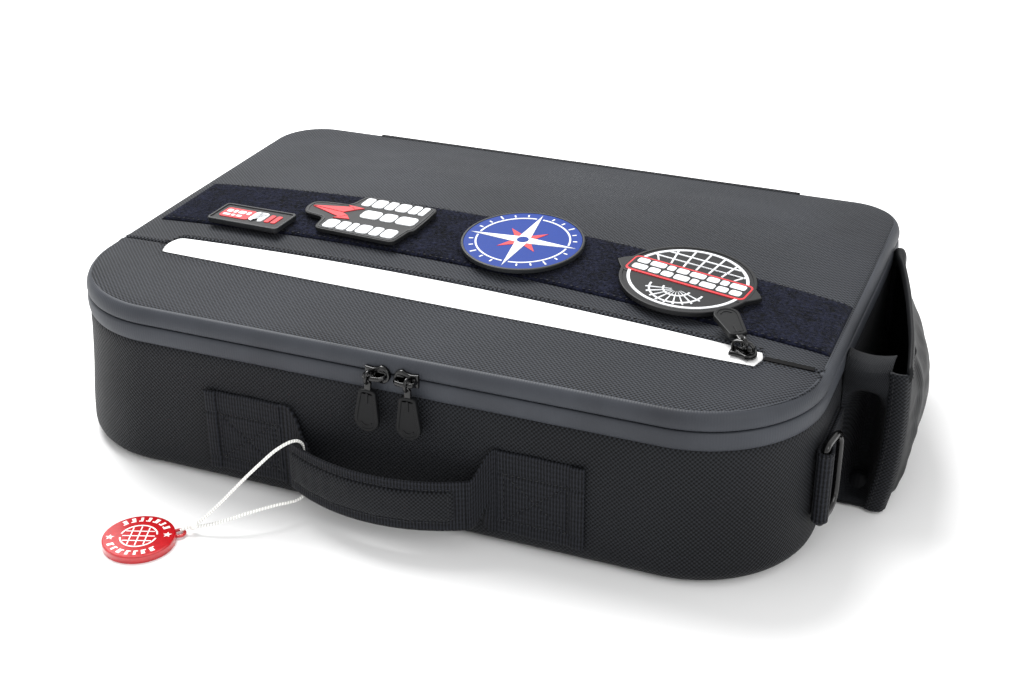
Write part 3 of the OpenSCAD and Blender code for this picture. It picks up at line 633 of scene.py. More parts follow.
def lid_stitching():
    """Rows of stitches by the white tape and along the strip's front and rear edges."""
    for name, side, far in (("rear_hem", 1, 2.6), ("front_hem", -1, 2.6)):
        path = []
        for k in range(121):
            x = -ZIP_HALF - 3 + (2 * ZIP_HALF + 20) * k / 120
            y = zip_y(x) + side * (zip_half(x) + far)
            path.append((on_lid(x, y, 0.65), lid_normal(x, y)))
        stitch_row("stitches_" + name, path, "lid")
    for name, j in (("strip_rear", 1), ("strip_front", -1)):
        path = []
        for k in range(121):
            x = -HALF_W + 10 + (BODY_W - 16) * k / 120
            y = strip_mid(x) + j * (STRIP_W / 2 - 1.6)
            path.append((on_lid(x, y, 1.5), lid_normal(x, y)))
        stitch_row("stitches_" + name, path, "lid", None, 2.2, 1.2, 0.5)


wall_cover()
base_cover()
bands()
lid_panel("lid_rear_cover", 1, "lid_rear_panel")
lid_panel("lid_front_cover", -1, "lid_front_panel")
pocket_tape()
display_strip()
loop_fibres()
lid_stitching()


# ---------------------------------------------------------------- rear hinge and interior

def hinge_fabric():
    """Fabric over the hinge: it runs from the wall round the rear edge on to the lid."""
    profile = [(1.6, 73.0), (0.2, 74.5), (-0.5, 76.5), (-0.7, 79.5), (-0.5, 82.5), (-0.1, 84.7),
               (-0.5, 86.8), (-0.7, 89.5), (-0.4, 92.0), (0.6, 94.0), (2.4, 94.9), (4.6, 94.2)]
    rows = len(profile) - 1

    def place(s, t):
        x = HINGE_HALF * (1 - 2 * s)
        inset, z = profile[round(t * rows)]
        return Vector((x, HALF_D - inset + 0.25 * ripple(x, 0, z, 40, 9.0), z)), (x, z)

    bm = mapped_grid(100, rows, place)
    face_out(bm)
    piece = add_piece("hinge_fabric", bm, NYLON, None, ("rear_hinge_lower", "rear_hinge_upper"))
    thicken(piece, 0.6, -1)
    bpy.context.view_layer.update()
    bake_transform(piece)


def body_lining():
    """Padded brushed lining of the main compartment, rolled over the rim of the wall."""
    profile = [(1.5, 79.0), (1.6, 80.6), (2.6, 81.6), (4.6, 81.9), (6.6, 81.5), (7.9, 80.2),
               (8.2, 77.0), (7.7, 66.0), (8.3, 57.0), (7.6, 48.0), (8.2, 39.0), (7.6, 30.0),
               (8.2, 20.0), (8.6, 13.5), (10.2, 9.8), (13.5, 8.4), (22.0, 8.1)]
    rows = len(profile) - 1

    def place(s, t):
        inset, z = profile[round(t * rows)]
        point, normal, far = outline(s, inset)
        return Vector((point.x, point.y, z)), (far, z if z > 9 else z - inset)

    bm = mapped_grid(240, rows, place, closed=True)
    bmesh.ops.recalc_face_normals(bm, faces=bm.faces)
    walls = add_piece("wall_lining_cover", bm, LINING, "bag",
                      ("wall_lining", "wall_foam"))
    thicken(walls, 0.6, -1)

    def floor(s, t):
        x, y = plan_point(2 * s - 1, 2 * t - 1, 21.5)
        quilt = abs(math.sin(x / 42 * math.pi)) * abs(math.sin(y / 42 * math.pi))
        return Vector((x, y, 7.9 + 0.8 * quilt ** 0.5)), (x, y)

    bm = mapped_grid(110, 80, floor)
    base = add_piece("base_lining_cover", bm, LINING, "bag", ("base_lining", "base_foam"))
    thicken(base, 0.4, -1)


def lid_lining():
    """Padded lining of the lid, quilted in squares and rolled up to the band at its edge."""
    def place(s, t):
        x, y = plan_point(2 * s - 1, 2 * t - 1, 3.4)
        edge = edge_distance(x, y) - 3.4
        z = SEAM_Z + lid_rise(x, y) - 8.1
        quilt = abs(math.sin(x / 42 * math.pi)) * abs(math.sin(y / 42 * math.pi))
        z -= 0.5 * quilt ** 0.5 * ease(edge / 12)
        z += 5.0 * math.exp(-edge / 1.8)
        return Vector((x, y, z)), (x, y)

    bm = mapped_grid(130, 96, place)
    bmesh.ops.reverse_faces(bm, faces=bm.faces)
    piece = add_piece("lid_lining_cover", bm, LINING, "lid",
                      ("lid_lining", "lid_foam", "pocket_lining"))
    thicken(piece, 0.5, -1)


hinge_fabric()
body_lining()
lid_lining()


# ---------------------------------------------------------------- moulded plates

def rounded_points(width, depth, radius, centre=(0, 0), per_corner=6):
    """Outline of a round-cornered rectangle, anticlockwise."""
    points = []
    for sx, sy, start in ((1, -1, -90), (1, 1, 0), (-1, 1, 90), (-1, -1, 180)):
        for k in range(per_corner + 1):
            a = math.radians(start + 90 * k / per_corner)
            points.append((centre[0] + sx * (width / 2 - radius) + radius * math.cos(a),
                           centre[1] + sy * (depth / 2 - radius) + radius * math.sin(a)))
    return points


def circle_points(diameter, count=64, centre=(0, 0)):
    return [(centre[0] + diameter / 2 * math.cos(2 * math.pi * k / count),
             centre[1] + diameter / 2 * math.sin(2 * math.pi * k / count)) for k in range(count)]


def add_plate(bm, points, low, high, place, soften=0.3, dish=0.0, rim=0.0):
    """Plate of an outline between two heights, its top edge rounded, and dished inside a rim."""
    made = bmesh.ops.create_circle(bm, cap_ends=True, segments=len(points), radius=1.0)
    verts = made["verts"]
    for vert, (x, y) in zip(verts, points):
        vert.co = (x, y, low)
    face = verts[0].link_faces[0]
    top = bmesh.ops.extrude_face_region(bm, geom=[face], use_keep_orig=True)
    lifted = [v for v in top["geom"] if isinstance(v, bmesh.types.BMVert)]
    for vert in lifted:
        vert.co.z = high
    lid = [f for f in top["geom"] if isinstance(f, bmesh.types.BMFace)][0]
    every = set(verts) | set(lifted)
    if soften:
        edges = [e for e in lid.edges]
        cut = bmesh.ops.bevel(bm, geom=edges, offset=soften, offset_type="OFFSET", segments=2,
                              profile=0.5, affect="EDGES", clamp_overlap=True, material=-1)
        every |= set(cut["verts"])
        tops = [f for f in bm.faces if all(abs(v.co.z - high) < 1e-4 for v in f.verts)
                and any(v in every for v in f.verts)]
        lid = max(tops, key=lambda f: f.calc_area())
    if dish:
        inner = bmesh.ops.inset_region(bm, faces=[lid], thickness=rim, use_even_offset=True)
        slope = bmesh.ops.inset_region(bm, faces=[lid], thickness=0.25, use_even_offset=True)
        for vert in lid.verts:
            vert.co.z -= dish
        for made in (inner, slope):
            for face in made["faces"]:
                every |= set(face.verts)
        every |= set(lid.verts)
    every = [v for v in every if v.is_valid]
    bmesh.ops.transform(bm, matrix=place, verts=every)
    return bm


def finish_plates(name, bm, material, body, replaces=()):
    bmesh.ops.recalc_face_normals(bm, faces=bm.faces)
    piece = add_piece(name, bm, material, body, replaces)
    for face in piece.data.polygons:
        face.use_smooth = False
    return piece


def patch_place(x, y, turn):
    """Frame of a patch: on the lid's crown, tipped to its slope, its base at the hook plate."""
    rise = lambda u, v: SEAM_Z + lid_rise(u, v)
    tip_x = math.atan(rise(x, y + 0.5) - rise(x, y - 0.5))
    tip_y = -math.atan(rise(x + 0.5, y) - rise(x - 0.5, y))
    return (Matrix.Translation((x, y, rise(x, y) + 3.32)) @ Matrix.Rotation(tip_y, 4, "Y")
            @ Matrix.Rotation(tip_x, 4, "X") @ Matrix.Rotation(math.radians(turn), 4, "Z"))


def raised(name, shapes, place, material, body, high=2.35, soften=0.2):
    """Printed or moulded shapes that stand a little over a patch's floor."""
    bm = bmesh.new()
    for points in shapes:
        add_plate(bm, points, 1.5, high, place, soften)
    return finish_plates(name, bm, material, body)


def block_row(x0, x1, y, height, widths, gap=1.0):
    """Row of round-cornered blocks of the given relative widths."""
    unit = (x1 - x0 - gap * (len(widths) - 1)) / sum(widths)
    shapes, x = [], x0
    for share in widths:
        w = unit * share
        shapes.append(rounded_points(w, height, min(w, height) * 0.28, (x + w / 2, y), 3))
        x += w + gap
    return shapes


def arc_band(inner, outer, start, end, count=20, centre=(0, 0)):
    """Outline of a band between two radii and two angles."""
    angles = [math.radians(start + (end - start) * k / count) for k in range(count + 1)]
    return ([(centre[0] + outer * math.cos(a), centre[1] + outer * math.sin(a)) for a in angles]
            + [(centre[0] + inner * math.cos(a), centre[1] + inner * math.sin(a))
               for a in reversed(angles)])


def bar_patch():
    place = patch_place(-134, -32, -6)
    bm = bmesh.new()
    add_plate(bm, rounded_points(48, 21, 2.5), 0, 2.4, place, 0.4, 0.7, 0.9)
    finish_plates("bar_patch_plate", bm, PVC_RIM, "bar_patch_set", ("bar_patch",))
    raised("bar_patch_field", [rounded_points(43.6, 16.6, 1.2)], place, PVC_DARK,
           "bar_patch_set", 1.82, 0.1)
    raised("bar_patch_red", [rounded_points(20, 11, 2.2, (-9.6, 0))]
           + block_row(11, 18.6, 0, 9, (1, 1), 1.2), place, PVC_RED, "bar_patch_set", 2.3)
    raised("bar_patch_white", block_row(-17.6, -1.8, 1.6, 3.4, (3, 2, 4, 2))
           + block_row(-17.6, -5, -2.9, 2.2, (4, 2, 3))
           + [rounded_points(9, 10.6, 2.4, (5.2, 0))], place, PVC_WHITE, "bar_patch_set", 2.5)


def dart_outline(inset):
    """Die-cut outline of the dart patch: a nose at the left and three steps at the right."""
    corners = [(-36, 7), (-37, 0), (-34, -7), (-20, -9), (-18, -22), (33, -23), (35, -8),
               (37, -6), (37, 8), (36, 22), (-11, 23), (-14, 10), (-26, 9)]
    centre = Vector((4, 0))
    rounded = []
    count = len(corners)
    for k in range(count):
        before, here, after = (Vector(corners[(k + d) % count]) for d in (-1, 0, 1))
        reach = min(4.0, (here - before).length * 0.45, (after - here).length * 0.45)
        start = here + (before - here).normalized() * reach
        end = here + (after - here).normalized() * reach
        for step in range(5):
            t = step / 4
            spot = start * (1 - t) ** 2 + here * 2 * t * (1 - t) + end * t * t
            away = spot - centre
            rounded.append(tuple(spot - away.normalized() * inset))
    return list(reversed(rounded))


def dart_patch():
    place = patch_place(-73, -16, -5)
    bm = bmesh.new()
    add_plate(bm, dart_outline(0), 0, 2.2, place, 0.5)
    finish_plates("dart_patch_plate", bm, PVC_DARK, "dart_patch_set", ("dart_patch",))
    bm = bmesh.new()
    add_plate(bm, dart_outline(1.3), 1.8, 2.5, place, 0.15, 0.45, 0.7)
    finish_plates("dart_patch_outline", bm, PVC_RIM, "dart_patch_set")
    raised("dart_patch_red", [
        [(-33, 1), (-10, -7), (-7, -3.6), (-12, -1)], [(-33, 1.6), (-12, -0.4), (-7, 4.5), (-10, 7)],
        [(-14, -8.4), (-4, -7), (-8, -3)], [(-14, 8.4), (-8, 4), (-3, 7.4)]],
        place, PVC_RED, "dart_patch_set", 2.7, 0.1)
    raised("dart_patch_white", block_row(-8, 32.5, 15.4, 9.6, (3, 4, 3, 4, 3, 2))
           + block_row(-1, 33.5, 1.6, 9.2, (4, 3, 4)) + block_row(-14.5, 30.5, -15.2, 9.6,
                                                                 (4, 3, 2, 4, 3, 4)),
           place, PVC_WHITE, "dart_patch_set", 2.75)


def star(reach, waist, turn=0.0, arms=4, centre=(0, 0)):
    return [(centre[0] + (reach if k % 2 == 0 else waist) * math.cos(math.pi * k / arms + turn),
             centre[1] + (reach if k % 2 == 0 else waist) * math.sin(math.pi * k / arms + turn))
            for k in range(2 * arms)]


def compass_patch():
    place = patch_place(22.5, -16.5, 0)
    bm = bmesh.new()
    add_plate(bm, circle_points(66, 96), 0, 2.3, place, 0.5, 0.5, 0.7)
    finish_plates("compass_patch_plate", bm, PVC_RIM, "compass_patch_set", ("compass_patch",))
    raised("compass_patch_field", [circle_points(63.2, 96)], place, PVC_BLUE, "compass_patch_set",
           2.1, 0.25)
    ring = [arc_band(24.6, 25.6, 90 * k + 4, 90 * k + 86) for k in range(4)]
    ticks = []
    for k in range(24):
        a = 15 * k
        if a % 90:
            ticks.append(arc_band(26.6, 28.9 if a % 45 else 30.2, a - 0.9, a + 0.9, 2))
    raised("compass_patch_ring", ring + ticks, place, PVC_WHITE, "compass_patch_set", 2.35, 0.1)
    raised("compass_patch_points", [star(30, 4.6)], place, PVC_WHITE, "compass_patch_set", 2.45, 0.2)
    raised("compass_patch_minor", [star(15, 4.2, math.pi / 4)], place, PVC_RED,
           "compass_patch_set", 2.35, 0.15)
    raised("compass_patch_hub", [circle_points(6.4, 32)], place, PVC_BLUE, "compass_patch_set", 2.65)


def globe_patch():
    place = patch_place(115.5, -24, -8)
    half = 40.0
    lug = [(half, 0.6), (half - 2.5, 4), (33, 8.5), (30, 9), (30, -9), (33, -8.5), (half - 2.5, -3)]
    bm = bmesh.new()
    add_plate(bm, circle_points(70, 96), 0, 2.4, place, 0.5, 0.5, 1.1)
    for side in (1, -1):
        outline_points = [(side * x, y) for x, y in lug]
        add_plate(bm, outline_points if side < 0 else outline_points[::-1], 0, 2.3, place, 0.4)
    finish_plates("globe_patch_plate", bm, PVC_DARK, "globe_patch_set", ("globe_patch",))
    lines = [arc_band(29.4, 31.0, 12, 168, 48), arc_band(29.4, 31.0, 192, 348, 48)]
    for radius in (7.0, 14.0):
        lines.append(arc_band(radius - 0.5, radius + 0.5, 182, 358, 32, (0, -13)))
    for k in range(9):
        a = 200 + 17.5 * k
        lines.append(arc_band(2.6, 15.8, a - 2.2 if k % 2 else a - 1.6, a + 1.6, 2, (0, -13)))
    for k in range(-3, 4):
        x = 8.2 * k
        top = math.sqrt(max(1.0, 29.4 ** 2 - x * x))
        lines.append([(x * 0.86 - 0.5, 10), (x * 0.86 + 0.5, 10), (x + 0.5, top), (x - 0.5, top)])
    for y, reach in ((15, 25), (21.5, 20)):
        lines.append(rounded_points(2 * reach, 1.0, 0.4, (0, y), 2))
    raised("globe_patch_lines", lines, place, PVC_WHITE, "globe_patch_set", 2.35, 0.1)
    raised("globe_patch_band_edge", [rounded_points(66, 16.4, 3.2, (0, 1))], place, PVC_RED,
           "globe_patch_set", 2.45)
    raised("globe_patch_band", [rounded_points(64, 13.6, 2.4, (0, 1))], place, PVC_DARK,
           "globe_patch_set", 2.6)
    raised("globe_patch_blocks", block_row(-30, 30, 4.4, 5.0, (3, 4, 2, 3, 4, 3, 2, 4))
           + block_row(-30, 30, -2.2, 5.2, (4, 3, 3, 4, 2, 4, 3, 3)), place, PVC_WHITE,
           "globe_patch_set", 2.8)


bar_patch()
dart_patch()
compass_patch()
globe_patch()


# ---------------------------------------------------------------- sliders and pulls

BRIDGE_UP = 3.9


def front_place(x, lean=0.0, out=0.5):
    """Frame of a flat-drawn slider or pull on the front of the band."""
    return (Matrix.Translation((x, FRONT_Y - out, SPLIT_Z))
            @ Matrix.Rotation(math.radians(lean), 4, "Y") @ Matrix.Rotation(math.radians(90), 4, "X"))


def slider(name, place, body, node, mirror=1.0):
    """Cast slider: a plate with a round head and waisted sides, and a bridge arched over it."""
    outline_points = [(-6.5, -3.5), (-2.5, -3.1), (0.5, -3.9)]
    for k in range(13):
        a = math.radians(-90 + 15 * k)
        outline_points.append((1.75 + 4.75 * math.cos(a), 4.75 * math.sin(a)))
    outline_points += [(0.5, 3.9), (-2.5, 3.1), (-6.5, 3.5)]
    flip = Matrix.Diagonal((mirror, 1, 1, 1))
    bm = bmesh.new()
    add_plate(bm, outline_points, 0, 2.2, place @ flip, 0.7)
    add_plate(bm, rounded_points(5.4, 5.0, 1.8, (2.6, 0)), 1.8, 3.1, place @ flip, 0.6)
    path = [(-5.6, 1.4), (-5.7, 4.6), (-5.2, 6.1), (-3.6, 6.9), (0.0, 7.0), (3.0, 6.5), (4.4, 5.0),
            (4.9, 1.4)]
    rows = len(path) - 1

    def bridge(s, t):
        x, z = path[round(t * rows)]
        before, after = path[max(0, round(t * rows) - 1)], path[min(rows, round(t * rows) + 1)]
        way = Vector((after[0] - before[0], 0, after[1] - before[1])).normalized()
        out = Vector((-way.z, 0, way.x))
        a = 2 * math.pi * s
        spot = Vector((x, 0, z)) + out * 0.75 * math.cos(a) + Vector((0, 1.25 * math.sin(a), 0))
        return place @ flip @ spot, (s * 6, t * 15)

    arch = mapped_grid(12, rows, bridge, closed=True)
    mesh = bpy.data.meshes.new("arch")
    arch.to_mesh(mesh)
    arch.free()
    bm.from_mesh(mesh)
    bpy.data.meshes.remove(mesh)
    piece = finish_plates(name, bm, ZINC, body, (node,))
    for face in piece.data.polygons:
        face.use_smooth = True
    soft = piece.modifiers.new("soft", "BEVEL")
    soft.width = 0.15 * MM
    soft.segments = 2
    return piece


def ring_tube(bm, radius_x, radius_y, wire, place, sides=12, around=40, gap=0.0):
    """Closed oval wire about its own Z axis."""
    def spot(s, t):
        a, b = 2 * math.pi * t, 2 * math.pi * s
        out = Vector((math.cos(a), math.sin(a), 0))
        centre = Vector((radius_x * math.cos(a), radius_y * math.sin(a), 0))
        return place @ (centre + out * wire / 2 * math.cos(b)
                        + Vector((0, 0, wire / 2 * math.sin(b)))), (s, t)
    tube = mapped_grid(sides, around, spot, closed=True)
    mesh = bpy.data.meshes.new("tube")
    tube.to_mesh(mesh)
    tube.free()
    bm.from_mesh(mesh)
    bpy.data.meshes.remove(mesh)


def pull(name, place, body, link_node, puller_node):
    """Pull link, ring and shank, and a moulded teardrop puller with a raised lip and an arc."""
    bm = bmesh.new()
    turn = Matrix.Rotation(math.radians(90), 4, "Y")
    ring_tube(bm, 2.7, 3.0, 1.55, place @ turn)
    add_plate(bm, rounded_points(3.4, 5.6, 1.0, (0, -5.2)), -1.2, 0.5, place, 0.45)
    link = finish_plates(name + "_link", bm, ZINC, body, (link_node,))
    for face in link.data.polygons:
        face.use_smooth = True
    top, reach = -7.0, 23.0
    outline_points = []
    for k in range(9):
        a = math.radians(180 - 22.5 * k)
        outline_points.append((4.5 * math.cos(a), top - 1.2 + 1.6 * math.sin(a)))
    lower = []
    for k in range(21):
        a = math.radians(6 - (180 + 12) * k / 20)
        lower.append((6.5 * math.cos(a), top - reach + 6.4 + 6.4 * math.sin(a)))
    outline_points = (outline_points + lower)[::-1]
    bm = bmesh.new()
    add_plate(bm, outline_points, -1.6, 0.8, place, 0.5, 0.35, 1.0)
    add_plate(bm, outline_points, -1.7, -1.5, place, 0)
    add_plate(bm, arc_band(2.7, 3.4, 205, 335, 16, (0, top - reach + 6.4)), 0.3, 0.75, place, 0.12)
    add_plate(bm, rounded_points(1.2, 6.0, 0.5, (0, top - 4.4)), 0.3, 0.85, place, 0.15)
    finish_plates(name + "_puller", bm, RUBBER, body, (puller_node,))


def tape_place(up):
    """Frame on the pocket's tape at its slider."""
    rise = lambda u, v: SEAM_Z + lid_rise(u, v)
    x = 159.0
    y = zip_y(x)
    tip_x = math.atan(rise(x, y + 0.5) - rise(x, y - 0.5))
    tip_y = -math.atan(rise(x + 0.5, y) - rise(x - 0.5, y))
    turn = math.atan((ZIP_Y[1] - ZIP_Y[0]) / (2 * ZIP_HALF))
    return (Matrix.Translation((x, y, rise(x, y) + up)) @ Matrix.Rotation(tip_y, 4, "Y")
            @ Matrix.Rotation(tip_x, 4, "X") @ Matrix.Rotation(turn, 4, "Z"))


slider("left_slider_cast", front_place(-2.5), "left_slider", "left_slider_body")
slider("right_slider_cast", front_place(12.5), "right_slider", "right_slider_body", -1.0)
slider("pocket_slider_cast", tape_place(0.5), "pocket_slider", "pocket_slider_body")
PULL_OUT = 0.5 + 2.2 + BRIDGE_UP
pull("left_pull", front_place(-5.5, 4, PULL_OUT), "left_pull", "left_pull_link", "left_puller")
pull("right_pull", front_place(15.2, 0, PULL_OUT), "right_pull", "right_pull_link", "right_puller")
pull("pocket_pull", tape_place(PULL_OUT) @ Matrix.Rotation(math.radians(218), 4, "Z")
     @ Matrix.Rotation(math.radians(-5.5), 4, "X"), "pocket_pull", "pocket_pull_link", "pocket_puller")


# ---------------------------------------------------------------- sweeps

def sweep(path, reference, section, closed=False, sides=16):
    """Skin over a path of points. section(a, t) gives offsets sideways and along the reference."""
    count = len(path)
    run = [0.0]
    for before, after in zip(path, path[1:]):
        run.append(run[-1] + (after - before).length)

    def place(s, t):
        k = round(t * (count - 1))
        if closed:
            way = path[(k + 1) % (count - 1)] - path[(k - 1) % (count - 1)]
        else:
            way = path[min(k + 1, count - 1)] - path[max(k - 1, 0)]
        side = way.cross(reference).normalized()
        up = side.cross(way).normalized()
        a, b = section(s, run[k] / run[-1])
        return path[k] + side * a + up * b, (run[k], s * 2 * (abs(b) + abs(a)))

    return mapped_grid(sides, count - 1, place, closed=True)


def close_ends(bm):
    """Cap the open ends of a skin."""
    bmesh.ops.holes_fill(bm, edges=[e for e in bm.edges if e.is_boundary], sides=0)
    return face_out(bm)


# ---------------------------------------------------------------- handle

ARC_R, ARC_Y = 95.52, -64.48
GRIP_ANGLE = 28.79
HANDLE_Z = 27.5
ANCHOR_IN, ANCHOR_LEN, WEB_W = 59.0, 44.0, 46.0
FOLD = 27.0 / WEB_W               # share of the webbing's width in front of its fold


def on_arc(degrees, out=0.0, z=0.0):
    a = math.radians(degrees)
    return Vector(((ARC_R + out) * math.sin(a), ARC_Y - (ARC_R + out) * math.cos(a), z))


def folded_web(v, fold):
    """Offset outwards and height of the webbing across its width, 0 at its top edge, as its lower
    part turns up behind: fold runs from 0, flat, to 1, doubled."""
    flat_z = 33.0 + WEB_W / 2 - WEB_W * v
    if fold <= 0:
        return 0.0, flat_z
    line = (33.0 + WEB_W / 2 - 27.0) * (1 - fold) + 14.0 * fold
    if v <= FOLD:
        return 0.9 * fold, line + 27.0 * (1 - v / FOLD)
    reach = WEB_W * (v - FOLD)
    turn = math.pi * fold
    round_in = min(1.0, reach / 3.0)
    return (0.9 * fold - 0.2 * reach * math.sin(turn) - 2.6 * fold * round_in,
            line - reach * math.cos(turn))


def anchor(name, side, node):
    """Anchor of the handle: webbing with its end turned under, sunk along its box of stitches."""
    box_in, box_out = ANCHOR_IN + 3, ANCHOR_IN + ANCHOR_LEN - 8.5
    box_low, box_high = 17.3, 43.6

    def sink(x, z):
        lines = [abs(z - box_low), abs(z - box_high)]
        if box_in - 1 < x < box_out + 1:
            lines += [abs(z - box_low - (box_high - box_low) * (x - box_in) / (box_out - box_in)),
                      abs(z - box_high + (box_high - box_low) * (x - box_in) / (box_out - box_in))]
        if box_low - 1 < z < box_high + 1:
            lines += [abs(x - box_in), abs(x - box_out)]
        return 0.65 * math.exp(-(min(lines) / 0.9) ** 2)

    def place(s, t):
        x = ANCHOR_IN + ANCHOR_LEN * s
        z = 10.0 + WEB_W * t
        out = 2.2 - sink(x, z) + 0.25 * ripple(x, z, 0, 9, 3.0)
        out += 1.0 * ease((x - (ANCHOR_IN + ANCHOR_LEN - 7.5)) / 1.2)
        rim = min(s * ANCHOR_LEN + 3, (1 - s) * ANCHOR_LEN, t * WEB_W, (1 - t) * WEB_W)
        out -= 1.1 * math.exp(-rim / 0.5)
        return Vector((side * x, FRONT_Y - out, z + 0.5 * ripple(x, 0, 0, 14, 1.0) * (2 * t - 1))), \
            (x, z)

    bm = mapped_grid(88, 92, place)
    if side < 0:
        bmesh.ops.reverse_faces(bm, faces=bm.faces)
    piece = add_piece(name, bm, WEBBING, "bag", (node,))
    thicken(piece, 1.9, -1)
    for tag, corners in (
            ("box", [(box_in, box_low), (box_out, box_low), (box_out, box_high), (box_in, box_high),
                     (box_in, box_low), (box_out, box_high)]),
            ("cross", [(box_in, box_high), (box_out, box_low)])):
        path = []
        for (x0, z0), (x1, z1) in zip(corners, corners[1:]):
            for k in range(12):
                x, z = x0 + (x1 - x0) * k / 12, z0 + (z1 - z0) * k / 12
                path.append((Vector((side * x, FRONT_Y - 2.35 + sink(x, z), z)), Vector((0, -1, 0))))
        path.append((Vector((side * corners[-1][0], FRONT_Y - 2.0, corners[-1][1])),
                     Vector((0, -1, 0))))
        stitch_row(name + "_stitches_" + tag, path, "bag", None, 2.2, 0.9, 0.5)


def leg(name, side, node):
    """Webbing from the anchor to the grip, whose lower part turns up behind on the way."""
    start = Vector((side * ANCHOR_IN, FRONT_Y - 1.2, 0))
    end = on_arc(side * GRIP_ANGLE)
    grip_way = Vector((-side * math.cos(math.radians(GRIP_ANGLE)),
                       -math.sin(math.radians(GRIP_ANGLE)), 0))
    pull_in, pull_out = Vector((-side * 16, 0, 0)), grip_way * 12
    if side < 0:
        end = on_arc(-27.5, -3.4)
        pull_in, pull_out = Vector((34, 0, 0)), Vector((-2, -12, 0))

    def place(s, t):
        u = s
        a, b = 2 * u ** 3 - 3 * u ** 2 + 1, u ** 3 - 2 * u ** 2 + u
        c, d = -2 * u ** 3 + 3 * u ** 2, u ** 3 - u ** 2
        spot = start * a + pull_in * b + end * c + pull_out * d
        u2 = min(1.0, u + 0.01)
        a, b = 2 * u2 ** 3 - 3 * u2 ** 2 + 1, u2 ** 3 - 2 * u2 ** 2 + u2
        c, d = -2 * u2 ** 3 + 3 * u2 ** 2, u2 ** 3 - u2 ** 2
        ahead = start * a + pull_in * b + end * c + pull_out * d
        way = (ahead - spot).normalized() if u < 0.99 else pull_out.normalized()
        out = Vector((way.y, -way.x, 0)) * side
        if out.y > 0:
            out = -out
        push, z = folded_web(t, ease((u - 0.1) / (0.8 if side > 0 else 0.55)))
        spot = spot + out * push
        spot.y = min(spot.y, FRONT_Y - 0.6)
        spot.z = z + 0.4 * ripple(u * 12, t * 8, 0, 3, 2.0) * u * (1 - u) * 4
        return spot, (20 * u, WEB_W * t)

    bm = mapped_grid(40, 60, place)
    piece = add_piece(name, bm, WEBBING, None, (node,))
    thicken(piece, 1.5, 0)
    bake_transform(piece)


def grip():
    """Folded webbing through the grip, with its ribbed edges over and under a padded sleeve."""
    def web(s, t):
        degrees = -31.6 + (GRIP_ANGLE + 31.6) * s
        push, z = folded_web(t, 1.0)
        return on_arc(degrees, push, z), (math.radians(degrees) * ARC_R, WEB_W * t)

    bm = mapped_grid(90, 60, web)
    strap = add_piece("grip_webbing", bm, WEBBING, "handle", ("handle_strap",))
    thicken(strap, 1.3, 0)

    low, high_end = -30.6, 25.2

    def sleeve(s, t):
        degrees = low + (high_end - low) * t
        a = 2 * math.pi * s
        end = min(1.0, (1 - abs(2 * t - 1)) * 14)
        high = 8.3 + 0.3 * ripple(degrees, 0, 0, 7, 2.0)
        out = 3.5 * math.copysign(abs(math.cos(a)) ** 0.45, math.cos(a)) * (0.62 + 0.38 * ease(end))
        up = high * math.copysign(abs(math.sin(a)) ** 0.6, math.sin(a))
        crease = 0.9 * ripple(degrees * 1.4, up * 0.5, 0, 5, 6.0) * ease(end)
        return on_arc(degrees, out + crease * 0.6, HANDLE_Z + 0.4 + up), \
            (math.radians(degrees) * ARC_R, up + (30 if math.cos(a) < 0 else 0))

    bm = mapped_grid(40, 90, sleeve, closed=True)
    close_ends(bm)
    pad = add_piece("grip_sleeve", bm, NYLON_FINE, "handle", ("handle_grip",))
    for tag, up in (("top", 9.2), ("bottom", -9.2)):
        path = []
        for k in range(61):
            degrees = low + (high_end - low) * k / 60
            spot = on_arc(degrees, 1.75, HANDLE_Z + 0.4 + up)
            path.append((spot, (on_arc(degrees, 2) - on_arc(degrees, 1)).normalized()))
        stitch_row("grip_stitches_" + tag, path, "handle", None, 2.4, 1.0, 0.5)
    for tag, degrees in (("left", low + 1.6), ("right", high_end - 1.6)):
        path = [(on_arc(degrees, 3.25 - 0.5 * abs(k / 6 - 1) ** 2, HANDLE_Z + 0.4 + 6.6 * (k / 6 - 1)),
                 (on_arc(degrees, 2) - on_arc(degrees, 1)).normalized()) for k in range(13)]
        stitch_row("grip_stitches_" + tag, path, "handle", None, 2.0, 0.8, 0.5)


anchor("left_anchor_webbing", -1, "handle_anchor_left")
anchor("right_anchor_webbing", 1, "handle_anchor_right")
leg("left_leg_webbing", -1, "handle_leg_left")
leg("right_leg_webbing", 1, "handle_leg_right")
grip()


# ---------------------------------------------------------------- strap rings

RING_AT = Vector((204.1, -90.0, 41.0))


